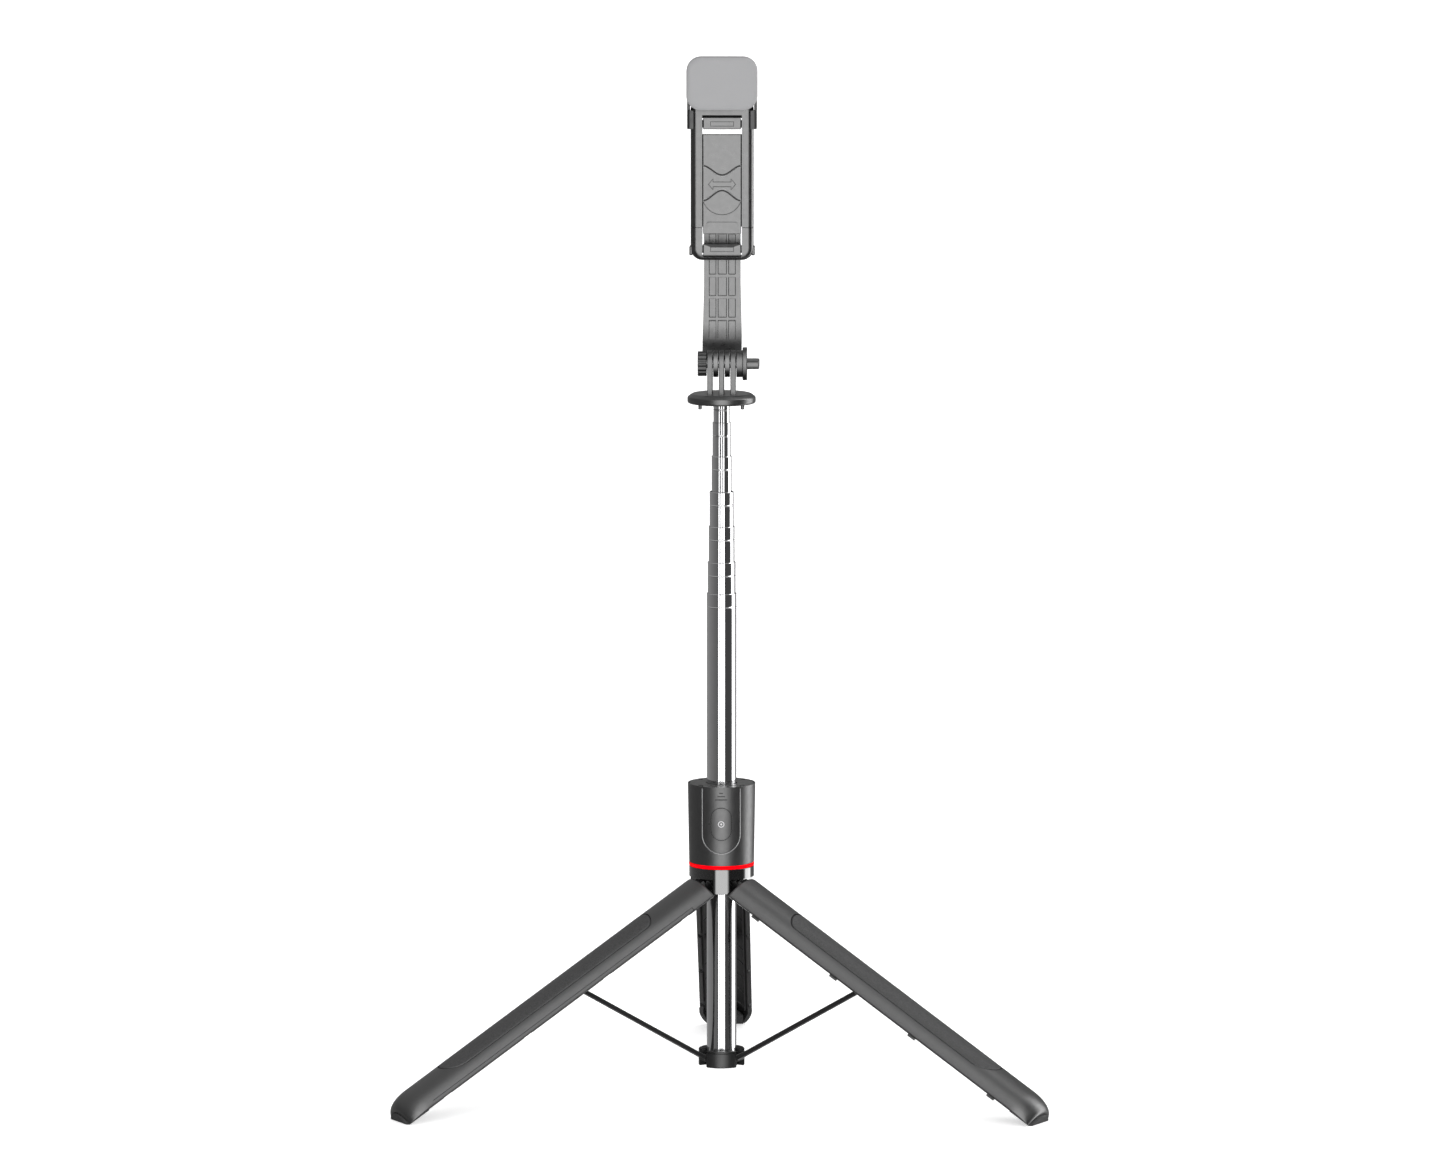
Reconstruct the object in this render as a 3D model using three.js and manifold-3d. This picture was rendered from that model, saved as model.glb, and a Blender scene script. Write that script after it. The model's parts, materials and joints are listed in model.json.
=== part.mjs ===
// Tripod selfie stick, standing with its three legs open and its pole part-way out.
// Millimetres, +Z up, the object faces -Y. Everything is laid out about the pole's axis with the floor
// at z = 0, and the whole group is moved at the end so that its box stands centred on the origin.
import * as THREE from 'three';
import { mergeVertices } from 'three/addons/utils/BufferGeometryUtils.js';
import Module from 'manifold-3d';

const wasm = await Module();
wasm.setup();

// ---------------------------------------------------------------- driving dimensions
const GAP = 0.3; // clearance left between separate pieces
const PIN_RADIUS = 1.0; // leg, strut and jaw pins
const PIN_HOLE = PIN_RADIUS + GAP;

const POLE = {
  radii: [8.1, 7.6, 7.05, 6.55, 5.45, 4.95, 4.45], // outermost section first
  tops: [274.5, 291.6, 311.2, 330.2, 349.7, 368.2, 382.5],
  bottoms: [14.8, 35, 54, 72.5, 91.5, 109.5, 121],
  wall: 0.35,
  grooveWidth: 2.7,
  grooveDepth: 0.9,
};

const HUB = { radius: 17.75, bore: 8.6, bottom: 110.5, top: 124.2, legCut: 12.4, legCutTop: 118.6 };
const HINGE = { reach: 10.6, height: 113.5, knuckle: 2.0, halfWidth: 4 };
const RING = { inner: 10.8, radius: 17.85, bottom: 124.4, top: 126.2 };

const HOUSING = { bottom: 126.4, top: 170, bottomRadius: 17.75, topRadius: 18.5, bore: 10.6, floor: 2.2 };
const CAP = { bottom: 167.6, radius: 17.6, bore: 8.5 };
const DOCK = { halfWidth: 10.35, bottom: 133, back: 11.2 };
const REMOTE = { halfWidth: 9.9, top: 169.8, back: 11.5, backPlate: 1.2, wall: 1.2, cavityRadius: 16.9 };
const SHUTTER = { halfWidth: 5.35, height: 149.5, halfLength: 8.75, back: 16.5 };
const DOCK_BLOCK = { halfWidth: 11.9, front: -20, back: -9.5 }; // thickens the housing behind the dock
const GUIDE = { inner: 8.45, outer: 10.3 };
const NUBS = { x: 11.5, y: 10.4, radius: 1.0, length: 2.4 };

const LEG = {
  outer: 17.75,
  inner: 14.75,
  halfAngle: 59.3, // each shell covers just under a third of the closed cylinder
  start: 3.7, // distances along the leg are measured down from the hinge
  tipStart: 206,
  end: 219,
  endRadius: 12.6,
  openAngle: 60,
};
const GRIP = { start: 38, end: 185, halfWidth: 9.3, recess: 1.0, topRound: 7, endRound: 13 };
const TABS = { first: 23.6, pitch: 56.5, count: 4, length: 5, inner: 15, outer: 16.2, reach: 1.2 };
const LINER = { inner: 13.3, outer: 14.45, rib: 12.95, start: 8, end: 203, pitch: 23.5, halfAngle: 54 };
const FOOT = { radius: 11.6, chord: 5.9, start: 205, end: 220.5 };
const STRUT = { length: 95.5, halfWidth: 3.5, thickness: 2.2, boss: 2.0 };
const LUG = { inner: 3.8, outer: 5.8, back: 1.9, half: 2.6 }; // the liner's two lugs for a strut's pin
const COLLAR = { bottom: 13.2, top: 22.5, radius: 12.6, disc: 8.5, discTop: 14.6, slotHalfWidth: 4.1 };

const HEAD = { radius: 18.6, bottom: 378.7, top: 384, chamfer: 1.9 };
const TILT = { height: 400.1, radius: 7.3, prongs: [-6.3, 0, 6.3], prongWidth: 2.9, hole: 2.7, screw: 2.4 };
const NUT = { outer: -13, inner: -8.05, ridgeRadius: 6.8, valleyRadius: 6.3, ridges: 12 };
const KNOB = {
  inner: 8.05,
  hub: 7.35,
  flange: 9,
  flangeSpan: [11.4, 13.9],
  leverSpan: [13, 20.6],
  leverHalf: [8, 2.35],
};
const FINGER = { places: [-3.15, 3.15], width: 2.8 };
const ARM = { halfWidth: 10, baseHalfWidth: 10.7, thickness: 5.5, bendRadius: 28, bendY: 6, start: 14.2 };
const SWIVEL = {
  height: 496.1,
  disc: 9,
  discSpan: [28.5, 30.95],
  screwTip: 23.4,
  hole: 2.3,
  screw: 2.0,
  headRadius: 4.5,
};
const CLAMP = {
  front: 19.2,
  back: 30.9,
  halfWidth: 17.15,
  windowHalfWidth: 10.8,
  bottom: 454.4,
  split: 472.4,
  top: 542.3,
  windowTop: 533.8,
};
const COVER = { halfWidth: 10.5, bottom: 469, top: 523.2, front: 19.15, back: 22.5 };
const JAW = { halfWidth: 10.25, upperPin: 531.6, lowerPin: 457.9, pinY: 21.3, half: 1.8, free: 5.6 };
const CLIP = {
  outer: 19,
  lipInner: 15.2,
  earBottom: 526.3,
  tongueHalf: 10,
  tongueTop: 555.4,
  thickness: 2,
  back: 27,
};
const LIGHT = { halfWidth: 19.35, bottom: 536.9, top: 566, corner: 8, front: 11, joint: 15.1, back: 19 };

// ---------------------------------------------------------------- making and combining solids
const X_AXIS = new THREE.Vector3(1, 0, 0);
const Y_AXIS = new THREE.Vector3(0, 1, 0);
const Z_AXIS = new THREE.Vector3(0, 0, 1);
const radians = THREE.MathUtils.degToRad;

// A closed three.js geometry as a manifold solid with its faces pointing out.
function toSolid(geometry) {
  const bare = geometry.clone();
  bare.deleteAttribute('normal');
  bare.deleteAttribute('uv');
  const merged = mergeVertices(bare, 1e-5);
  const position = merged.attributes.position;
  const corners = [];
  let volume = 0;
  const [a, b, c] = [new THREE.Vector3(), new THREE.Vector3(), new THREE.Vector3()];
  for (let i = 0; i < merged.index.count; i += 3) {
    const [p, q, r] = [merged.index.getX(i), merged.index.getX(i + 1), merged.index.getX(i + 2)];
    if (p === q || q === r || r === p) continue;
    corners.push([p, q, r]);
    a.fromBufferAttribute(position, p);
    b.fromBufferAttribute(position, q);
    c.fromBufferAttribute(position, r);
    volume += a.dot(b.cross(c));
  }
  const outward = volume > 0 ? corners : corners.map(([p, q, r]) => [p, r, q]);
  return new wasm.Manifold(
    new wasm.Mesh({
      numProp: 3,
      vertProperties: new Float32Array(position.array),
      triVerts: new Uint32Array(outward.flat()),
    }),
  );
}

const join = (first, ...others) => others.reduce((whole, other) => whole.add(other), first);
const cut = (first, ...others) => others.reduce((whole, other) => whole.subtract(other), first);
const common = (first, ...others) => others.reduce((whole, other) => whole.intersect(other), first);

function boxGeometry([x0, x1], [y0, y1], [z0, z1]) {
  const geometry = new THREE.BoxGeometry(x1 - x0, y1 - y0, z1 - z0);
  return geometry.translate((x0 + x1) / 2, (y0 + y1) / 2, (z0 + z1) / 2);
}

const box = (x, y, z) => toSolid(boxGeometry(x, y, z));

// A box turned about the pole's axis, laid out as if its direction were +X.
const turnedBox = (x, y, z, angle) => toSolid(boxGeometry(x, y, z).rotateZ(radians(angle)));

// Cylinders along each axis, between two places on it.
function rodX(radius, [x0, x1], y, z, sides = 20) {
  const geometry = new THREE.CylinderGeometry(radius, radius, x1 - x0, sides).rotateZ(Math.PI / 2);
  return toSolid(geometry.translate((x0 + x1) / 2, y, z));
}

function rodY(radius, [y0, y1], x, z, sides = 20) {
  const geometry = new THREE.CylinderGeometry(radius, radius, y1 - y0, sides);
  return toSolid(geometry.translate(x, (y0 + y1) / 2, z));
}

function rodZ(radius, [z0, z1], x = 0, y = 0, sides = 20) {
  const geometry = new THREE.CylinderGeometry(radius, radius, z1 - z0, sides).rotateX(Math.PI / 2);
  return toSolid(geometry.translate(x, y, (z0 + z1) / 2));
}

// A closed outline of [radius, height] points turned about the pole's axis.
function turned(outline, sides) {
  const points = [...outline, outline[0]].map(([radius, height]) => new THREE.Vector2(radius, height));
  return toSolid(new THREE.LatheGeometry(points, sides).rotateX(Math.PI / 2));
}

const tube = (inner, outer, z0, z1, sides) =>
  turned([[inner, z0], [outer, z0], [outer, z1], [inner, z1]], sides);

// An outline pushed along an axis, between two places on it. Along X the outline holds (y, z), along Y
// it holds (x, z), and along Z it holds (x, y).
function slab(outline, axis, [from, to], curveSegments = 2) {
  const options = { depth: to - from, bevelEnabled: false, curveSegments };
  const geometry = new THREE.ExtrudeGeometry(outline, options);
  if (axis === 'x') {
    geometry.applyMatrix4(new THREE.Matrix4().makeBasis(Y_AXIS, Z_AXIS, X_AXIS)).translate(from, 0, 0);
  } else if (axis === 'y') {
    const backwards = Y_AXIS.clone().negate();
    geometry.applyMatrix4(new THREE.Matrix4().makeBasis(X_AXIS, Z_AXIS, backwards)).translate(0, to, 0);
  } else {
    geometry.translate(0, 0, from);
  }
  return toSolid(geometry);
}

const polygon = (points) => new THREE.Shape(points.map(([u, v]) => new THREE.Vector2(u, v)));

function roundedRectangle([u0, u1], [v0, v1], radius) {
  const shape = new THREE.Shape();
  shape.absarc(u1 - radius, v0 + radius, radius, -Math.PI / 2, 0);
  shape.absarc(u1 - radius, v1 - radius, radius, 0, Math.PI / 2);
  shape.absarc(u0 + radius, v1 - radius, radius, Math.PI / 2, Math.PI);
  shape.absarc(u0 + radius, v0 + radius, radius, Math.PI, 1.5 * Math.PI);
  return shape;
}

// The outline of the remote and its dock: straight sides, open top, half-round bottom.
function tongueOutline(halfWidth, bottom, top) {
  const shape = new THREE.Shape();
  shape.moveTo(halfWidth, top);
  shape.lineTo(-halfWidth, top);
  shape.absarc(0, bottom + halfWidth, halfWidth, Math.PI, 2 * Math.PI);
  return shape;
}

// A wedge of the cylinder about the pole's axis, centred on +X.
function wedge(halfAngle, [z0, z1], from = -halfAngle) {
  const far = 60;
  const edge = (angle) => [far * Math.cos(radians(angle)), far * Math.sin(radians(angle))];
  const middle = edge((from + halfAngle) / 2).map((value) => value * 2);
  return slab(polygon([[0, 0], edge(from), middle, edge(halfAngle)]), 'z', [z0, z1]);
}

// ---------------------------------------------------------------- finishes
const finish = (color, roughness, metalness = 0) =>
  new THREE.MeshStandardMaterial({ color, roughness, metalness });
const FINISHES = {
  satinPlastic: finish(0x4a4a4c, 0.45),
  clampPlastic: finish(0x8f8f91, 0.5),
  blackPlastic: finish(0x19191b, 0.55),
  glossPlastic: finish(0x080809, 0.12),
  chrome: finish(0xd0d0d2, 0.12, 1),
  steel: finish(0x8a8a8c, 0.35, 1),
  redPlastic: finish(0xff0000, 0.4),
  rubber: finish(0x242425, 0.85),
  grip: finish(0x555556, 0.8),
  diffuser: finish(0xb4b4b4, 0.55),
  board: finish(0x1f5a35, 0.6),
};

function mesh(name, solid, material) {
  const { vertProperties, triVerts, numProp } = solid.getMesh();
  const geometry = new THREE.BufferGeometry();
  const places = new Float32Array((vertProperties.length / numProp) * 3);
  for (let i = 0; i < places.length / 3; i += 1) {
    places.set(vertProperties.subarray(i * numProp, i * numProp + 3), i * 3);
  }
  geometry.setAttribute('position', new THREE.BufferAttribute(places, 3));
  geometry.setIndex(new THREE.BufferAttribute(new Uint32Array(triVerts), 1));
  geometry.computeVertexNormals();
  const piece = new THREE.Mesh(geometry, material);
  piece.name = name;
  return piece;
}

// ---------------------------------------------------------------- pole
// One tube's outline: a circle with a shallow groove down its front.
function grooveOutline(radius) {
  const { grooveWidth, grooveDepth } = POLE;
  const points = [];
  const grooveSteps = 4;
  for (let i = 0; i <= grooveSteps; i += 1) {
    const x = grooveWidth * (i / grooveSteps - 0.5);
    const dip = grooveDepth * 0.5 * (1 + Math.cos((2 * Math.PI * x) / grooveWidth));
    points.push([x, -Math.sqrt(radius * radius - x * x) + dip]);
  }
  const startAngle = Math.atan2(points.at(-1)[1], points.at(-1)[0]);
  const sweep = 2 * Math.PI - 2 * (startAngle + Math.PI / 2);
  const roundSteps = 20;
  for (let i = 1; i < roundSteps; i += 1) {
    const angle = startAngle + (sweep * i) / roundSteps;
    points.push([radius * Math.cos(angle), radius * Math.sin(angle)]);
  }
  return polygon(points);
}

function poleTube(index) {
  const radius = POLE.radii[index];
  const span = [POLE.bottoms[index], POLE.tops[index]];
  const outline = grooveOutline(radius);
  outline.holes.push(grooveOutline(radius - POLE.wall));
  return mesh(`pole_tube_${index + 1}`, slab(outline, 'z', span), FINISHES.chrome);
}

// ---------------------------------------------------------------- leg hub, ring and legs
const LEG_AZIMUTHS = [-30, 90, 210]; // front right, back, front left

function legHub() {
  let hub = tube(HUB.bore, HUB.radius, HUB.bottom, HUB.top, 36);
  const below = HUB.bottom - 1;
  for (const azimuth of LEG_AZIMUTHS) {
    const slotTop = HINGE.height + HINGE.knuckle + 1;
    const slotAcross = [-HINGE.halfWidth - GAP, HINGE.halfWidth + GAP];
    const pin = new THREE.CylinderGeometry(PIN_HOLE, PIN_HOLE, 13.6, 12);
    pin.translate(HINGE.reach, 0, HINGE.height).rotateZ(radians(azimuth));
    hub = cut(
      hub,
      turnedBox([HUB.legCut, HUB.radius + 2], [-20, 20], [below, HUB.legCutTop], azimuth),
      turnedBox([HUB.bore - 0.6, HUB.legCut + 1], slotAcross, [below, slotTop], azimuth),
      toSolid(pin),
    );
  }
  return mesh('leg_hub', hub, FINISHES.glossPlastic);
}

const redRing = () =>
  mesh('red_ring', tube(RING.inner, RING.radius, RING.bottom, RING.top, 36), FINISHES.redPlastic);

// The legs are laid out closed, hanging down about the pole's axis with the hinge at x = HINGE.reach.
// `along` turns a distance down the leg into a height.
const along = (distance) => HINGE.height - distance;

// A quarter ellipse of [radius, height] points from the shell's side to its rounded end.
function tipCurve(steps) {
  const points = [];
  for (let i = 0; i <= steps; i += 1) {
    const angle = (Math.PI / 2) * (i / steps);
    const radius = LEG.endRadius + (LEG.outer - LEG.endRadius) * Math.cos(angle);
    points.push([radius, along(LEG.tipStart + (LEG.end - LEG.tipStart) * Math.sin(angle))]);
  }
  return points;
}

// The grip's outline in (y, z): long straight sides with a half-ellipse at each end.
function gripOutline(clearance) {
  const halfWidth = GRIP.halfWidth + clearance;
  const shape = new THREE.Shape();
  const top = along(GRIP.start + GRIP.topRound);
  const bottom = along(GRIP.end - GRIP.endRound);
  shape.absellipse(0, top, halfWidth, GRIP.topRound + clearance, 0, Math.PI);
  shape.absellipse(0, bottom, halfWidth, GRIP.endRound + clearance, Math.PI, 2 * Math.PI);
  return shape;
}

function legShell() {
  const rim = LEG.endRadius - 0.7;
  const outline = [
    [LEG.inner, along(LEG.start)],
    [LEG.outer, along(LEG.start)],
    ...tipCurve(4),
    [rim, along(LEG.end)],
    [rim, along(LEG.end - 3)],
    [LEG.inner, along(LEG.tipStart)],
  ];
  const span = [along(LEG.end + 1), along(LEG.start - 1)];
  let shell = common(turned(outline, 42), wedge(LEG.halfAngle, span));
  const gripPocket = slab(gripOutline(GAP), 'x', [LEG.endRadius, LEG.outer + 1], 4);
  const skin = tube(LEG.outer - GRIP.recess, LEG.outer + 1, along(LEG.end), along(LEG.start), 42);
  const edgeStrip = common(
    tube(LEG.outer - 0.5, LEG.outer + 1, along(202), along(18), 42),
    wedge(LEG.halfAngle + 1, span, 52),
  );
  shell = cut(shell, common(gripPocket, skin), edgeStrip);
  for (let i = 0; i < TABS.count; i += 1) {
    const centre = TABS.first + i * TABS.pitch;
    const tab = [along(centre + TABS.length / 2), along(centre - TABS.length / 2)];
    const notch = [tab[0] - GAP, tab[1] + GAP];
    shell = join(shell, turnedBox([TABS.inner, TABS.outer], [-TABS.reach, 0.8], tab, -LEG.halfAngle));
    shell = cut(shell, turnedBox([LEG.inner - 0.5, TABS.outer + GAP], [-1.6, 1], notch, LEG.halfAngle));
  }
  const across = [-HINGE.halfWidth, HINGE.halfWidth];
  const plate = box([HINGE.reach, LEG.inner + 0.45], across, [along(7), along(0.5)]);
  const knuckle = rodY(HINGE.knuckle, across, HINGE.reach, HINGE.height, 14);
  const pinHole = rodY(PIN_HOLE, [-6, 6], HINGE.reach, HINGE.height, 8);
  return cut(join(shell, plate, knuckle), pinHole);
}

function legGrip() {
  const { outer, halfAngle } = LEG;
  const skin = tube(outer - GRIP.recess + GAP, outer + 0.05, along(LEG.end), along(LEG.start), 42);
  const piece = common(slab(gripOutline(0), 'x', [LEG.endRadius, outer + 1], 4), skin);
  return common(piece, wedge(halfAngle, [along(LEG.end), along(0)]));
}

function legLiner() {
  const outline = [[LINER.outer, along(LINER.end)], [LINER.outer, along(LINER.start)]];
  outline.push([LINER.inner, along(LINER.start)]);
  for (let rib = LINER.start + LINER.pitch; rib < LINER.end; rib += LINER.pitch) {
    outline.push([LINER.inner, along(rib)], [LINER.rib, along(rib)]);
    outline.push([LINER.rib, along(rib + 1)], [LINER.inner, along(rib + 1)]);
  }
  outline.push([LINER.inner, along(LINER.end)]);
  let liner = common(turned(outline, 24), wedge(LINER.halfAngle, [along(210), along(0)]));
  const pivot = along(STRUT.length);
  for (const side of [-1, 1]) {
    const cheek = [LUG.inner * side, LUG.outer * side].sort((p, q) => p - q);
    const high = [pivot - LUG.half, pivot + LUG.half];
    liner = join(liner, box([HINGE.reach - LUG.back, LINER.inner - GAP], cheek, high));
  }
  return cut(liner, rodY(PIN_HOLE, [-7, 7], HINGE.reach, pivot, 8));
}

function legFoot() {
  const plug = common(
    rodZ(FOOT.radius, [along(FOOT.end), along(FOOT.start)], 0, 0, 42),
    box([FOOT.chord, 20], [-20, 20], [along(FOOT.end), along(FOOT.start)]),
    wedge(LEG.halfAngle, [along(FOOT.end), along(FOOT.start)]),
  );
  const nub = box([FOOT.chord - 1.3, FOOT.chord + 1], [-3, 3], [along(216), along(208)]);
  // The open leg stands on the floor, so its foot is cut flat there.
  const underFloor = boxGeometry([-50, 300], [-30, 30], [-HINGE.height - 20, -HINGE.height]);
  underFloor.rotateY(radians(LEG.openAngle)).translate(HINGE.reach, 0, HINGE.height);
  return cut(join(plug, nub), toSolid(underFloor));
}

function strut() {
  const { length, halfWidth, thickness, boss } = STRUT;
  const across = [-halfWidth, halfWidth];
  const bar = box([-thickness / 2, thickness / 2], across, [-length, 0]);
  const ends = [rodY(boss, across, 0, 0, 12), rodY(boss, across, 0, -length, 12)];
  const holes = [rodY(PIN_HOLE, [-5, 5], 0, 0, 8), rodY(PIN_HOLE, [-5, 5], 0, -length, 8)];
  return cut(join(bar, ...ends), ...holes);
}

// The solids of one leg are made once and shared by the three legs. Moving a leg's closed layout by
// `toHinge` puts its hinge at its own group's origin, and the group then opens and faces outwards.
const toHinge = (solid) => solid.translate([-HINGE.reach, 0, -HINGE.height]);
const LEG_SOLIDS = {
  leg_shell: [toHinge(legShell()), FINISHES.satinPlastic],
  leg_grip: [toHinge(legGrip()), FINISHES.grip],
  leg_liner: [toHinge(legLiner()), FINISHES.blackPlastic],
  leg_foot: [toHinge(legFoot()), FINISHES.rubber],
  strut_pin: [rodY(PIN_RADIUS, [-5.6, 5.6], 0, -STRUT.length, 12), FINISHES.steel],
};
const LEG_PIN_SOLID = rodY(PIN_RADIUS, [-6.5, 6.5], 0, 0, 12);
const STRUT_SOLID = strut();

function leg(number, azimuth) {
  const facing = new THREE.Group();
  facing.rotation.z = radians(azimuth);
  const hinge = new THREE.Group();
  hinge.position.set(HINGE.reach, 0, HINGE.height);
  facing.add(hinge);
  hinge.add(mesh(`leg_pin_${number}`, LEG_PIN_SOLID, FINISHES.steel));
  const opened = new THREE.Group();
  opened.rotation.y = -radians(LEG.openAngle);
  for (const [name, [solid, material]] of Object.entries(LEG_SOLIDS)) {
    opened.add(mesh(`${name}_${number}`, solid, material));
  }
  hinge.add(opened);
  const bar = mesh(`strut_${number}`, STRUT_SOLID, FINISHES.blackPlastic);
  const angle = radians(LEG.openAngle);
  bar.position.set(STRUT.length * Math.sin(angle), 0, -STRUT.length * Math.cos(angle));
  bar.rotation.y = angle;
  hinge.add(bar);
  return facing;
}

// The collar under the pole: a disc and three lobes, with a slot between them for each strut.
function poleCollar() {
  const { bottom, top, radius, disc, discTop, slotHalfWidth } = COLLAR;
  let collar = tube(POLE.radii[0] + GAP, radius, bottom, top, 36);
  for (const azimuth of LEG_AZIMUTHS) {
    const across = [-slotHalfWidth, slotHalfWidth];
    collar = cut(collar, turnedBox([disc - 1, radius + 2], across, [bottom - 1, top + 1], azimuth));
  }
  collar = join(collar, rodZ(disc, [bottom, discTop], 0, 0, 36));
  return mesh('pole_collar', collar, FINISHES.blackPlastic);
}

// ---------------------------------------------------------------- handle housing and remote
const housingRadius = (z) => {
  const share = (z - HOUSING.bottom) / (HOUSING.top - HOUSING.bottom);
  return HOUSING.bottomRadius + share * (HOUSING.topRadius - HOUSING.bottomRadius);
};

// The solid cone inside the housing's outer surface, pulled in by an inset.
function housingCone(inset) {
  const [z0, z1] = [HOUSING.bottom, HOUSING.top];
  const outline = [[0, z0], [housingRadius(z0) - inset, z0], [housingRadius(z1) - inset, z1], [0, z1]];
  return turned(outline, 40);
}

const dockOutline = tongueOutline(DOCK.halfWidth, DOCK.bottom, HOUSING.top + 1);

function handleHousing() {
  const { bottom, top, bottomRadius, topRadius, bore, floor } = HOUSING;
  const ledge = CAP.bottom - 0.2;
  const outline = [
    [bore, bottom],
    [bottomRadius, bottom],
    [topRadius, top],
    [CAP.radius + GAP, top],
    [CAP.radius + GAP, ledge],
    [topRadius - 2.3, ledge],
    [bottomRadius - 1.75, bottom + floor],
    [bore, bottom + floor],
  ];
  const { halfWidth, front, back } = DOCK_BLOCK;
  const dockBlock = common(box([-halfWidth, halfWidth], [front, back], [bottom, ledge]), housingCone(0));
  const dock = slab(dockOutline, 'y', [-20, -DOCK.back], 6);
  const guideHole = rodZ(bore, [bottom - 1, top + 1], 0, 0, 32);
  const housing = cut(join(turned(outline, 40), dockBlock), dock, guideHole);
  return mesh('handle_housing', housing, FINISHES.satinPlastic);
}

const eachNub = (make) => [-1, 1].flatMap((sx) => [-1, 1].map((sy) => make(sx * NUBS.x, sy * NUBS.y)));

function handleCap() {
  const top = HOUSING.top - 0.1;
  const cap = cut(
    tube(CAP.bore, CAP.radius, CAP.bottom, top, 40),
    box([-DOCK.halfWidth - GAP, DOCK.halfWidth + GAP], [-20, -DOCK.back + GAP], [CAP.bottom - 1, top + 1]),
    ...eachNub((x, y) => rodZ(NUBS.radius + GAP, [top - 1.8, top + 1], x, y, 8)),
  );
  return mesh('handle_cap', cap, FINISHES.satinPlastic);
}

const poleGuide = () => {
  const sleeve = tube(GUIDE.inner, GUIDE.outer, HOUSING.bottom + GAP, CAP.bottom - GAP, 28);
  return mesh('pole_guide', sleeve, FINISHES.blackPlastic);
};

function shutterOutline(clearance) {
  const { halfWidth, height, halfLength } = SHUTTER;
  const u = [-halfWidth - clearance, halfWidth + clearance];
  const v = [height - halfLength - clearance, height + halfLength + clearance];
  return roundedRectangle(u, v, halfWidth + clearance - 0.01);
}

function remoteParts() {
  const { halfWidth, top, back, backPlate, wall, cavityRadius } = REMOTE;
  const bottom = DOCK.bottom + DOCK.halfWidth - halfWidth;
  const outline = tongueOutline(halfWidth, bottom, top);
  const joint = -back - backPlate;
  const body = common(slab(outline, 'y', [-20, joint - 0.2], 6), housingCone(0.1));
  const cavityOutline = tongueOutline(halfWidth - wall, bottom + wall, top - wall);
  const cavity = common(
    slab(cavityOutline, 'y', [-20, joint + 1], 6),
    rodZ(cavityRadius, [bottom - 1, top + 1], 0, 0, 40),
  );
  const buttonHole = slab(shutterOutline(GAP), 'y', [-20, -cavityRadius + 4], 4);
  const button = common(slab(shutterOutline(0), 'y', [-20, -SHUTTER.back], 4), housingCone(0.05));
  const middle = DOCK.bottom + 18.5;
  return [
    mesh('remote_shell', cut(body, cavity, buttonHole), FINISHES.satinPlastic),
    mesh('remote_back', slab(outline, 'y', [joint, -back], 6), FINISHES.satinPlastic),
    mesh('shutter_button', button, FINISHES.satinPlastic),
    mesh('remote_board', box([-5.5, 5.5], [-15.8, -15], [middle - 14.5, middle + 14.5]), FINISHES.board),
    mesh('coin_cell', rodY(8, [-14.7, -13.1], 0, middle - 1.5, 20), FINISHES.steel),
  ];
}

// ---------------------------------------------------------------- head plate and tilt joint
function headPlate() {
  const { radius, bottom, top, chamfer } = HEAD;
  const outline = [[0, bottom], [radius - 0.6, bottom], [radius, bottom + 0.8], [radius, top - chamfer]];
  outline.push([radius - 2.6, top], [0, top]);
  const prong = new THREE.Shape();
  prong.moveTo(TILT.radius, top - 1);
  prong.absarc(0, TILT.height, TILT.radius, 0, Math.PI);
  prong.lineTo(-TILT.radius, top - 1);
  const half = TILT.prongWidth / 2;
  const plate = join(
    turned(outline, 36),
    ...TILT.prongs.map((x) => slab(prong, 'x', [x - half, x + half], 5)),
    ...eachNub((x, y) => rodZ(NUBS.radius, [bottom - NUBS.length, bottom + 1], x, y, 8)),
  );
  const holes = [
    rodX(TILT.hole, [-10, 10], 0, TILT.height, 12),
    rodZ(POLE.radii.at(-1) + GAP, [bottom - 1, POLE.tops.at(-1) + GAP], 0, 0, 24),
  ];
  return mesh('head_plate', cut(plate, ...holes), FINISHES.satinPlastic);
}

function tiltNut() {
  const outline = [];
  for (let i = 0; i < NUT.ridges * 2; i += 1) {
    const angle = (Math.PI * i) / NUT.ridges;
    const radius = i % 2 ? NUT.valleyRadius : NUT.ridgeRadius;
    outline.push([radius * Math.cos(angle), TILT.height + radius * Math.sin(angle)]);
  }
  const blank = slab(polygon(outline), 'x', [NUT.outer, NUT.inner]);
  const hole = rodX(TILT.hole, [NUT.outer + 0.4, NUT.inner + 1], 0, TILT.height, 12);
  return mesh('tilt_nut', cut(blank, hole), FINISHES.blackPlastic);
}

function tiltKnob() {
  const z = TILT.height;
  const [across, high] = KNOB.leverHalf;
  const lever = slab(roundedRectangle([-across, across], [z - high, z + high], 2), 'x', KNOB.leverSpan);
  const hub = rodX(KNOB.hub, [KNOB.inner, KNOB.flangeSpan[0] + 0.6], 0, z, 24);
  const knob = join(hub, rodX(KNOB.flange, KNOB.flangeSpan, 0, z, 24), lever);
  return mesh('tilt_knob', cut(knob, rodX(TILT.hole, [8, 11.3], 0, z, 12)), FINISHES.blackPlastic);
}

const tiltScrew = () =>
  mesh('tilt_screw', rodX(TILT.screw, [-12.3, 11], 0, TILT.height, 12), FINISHES.steel);

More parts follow.
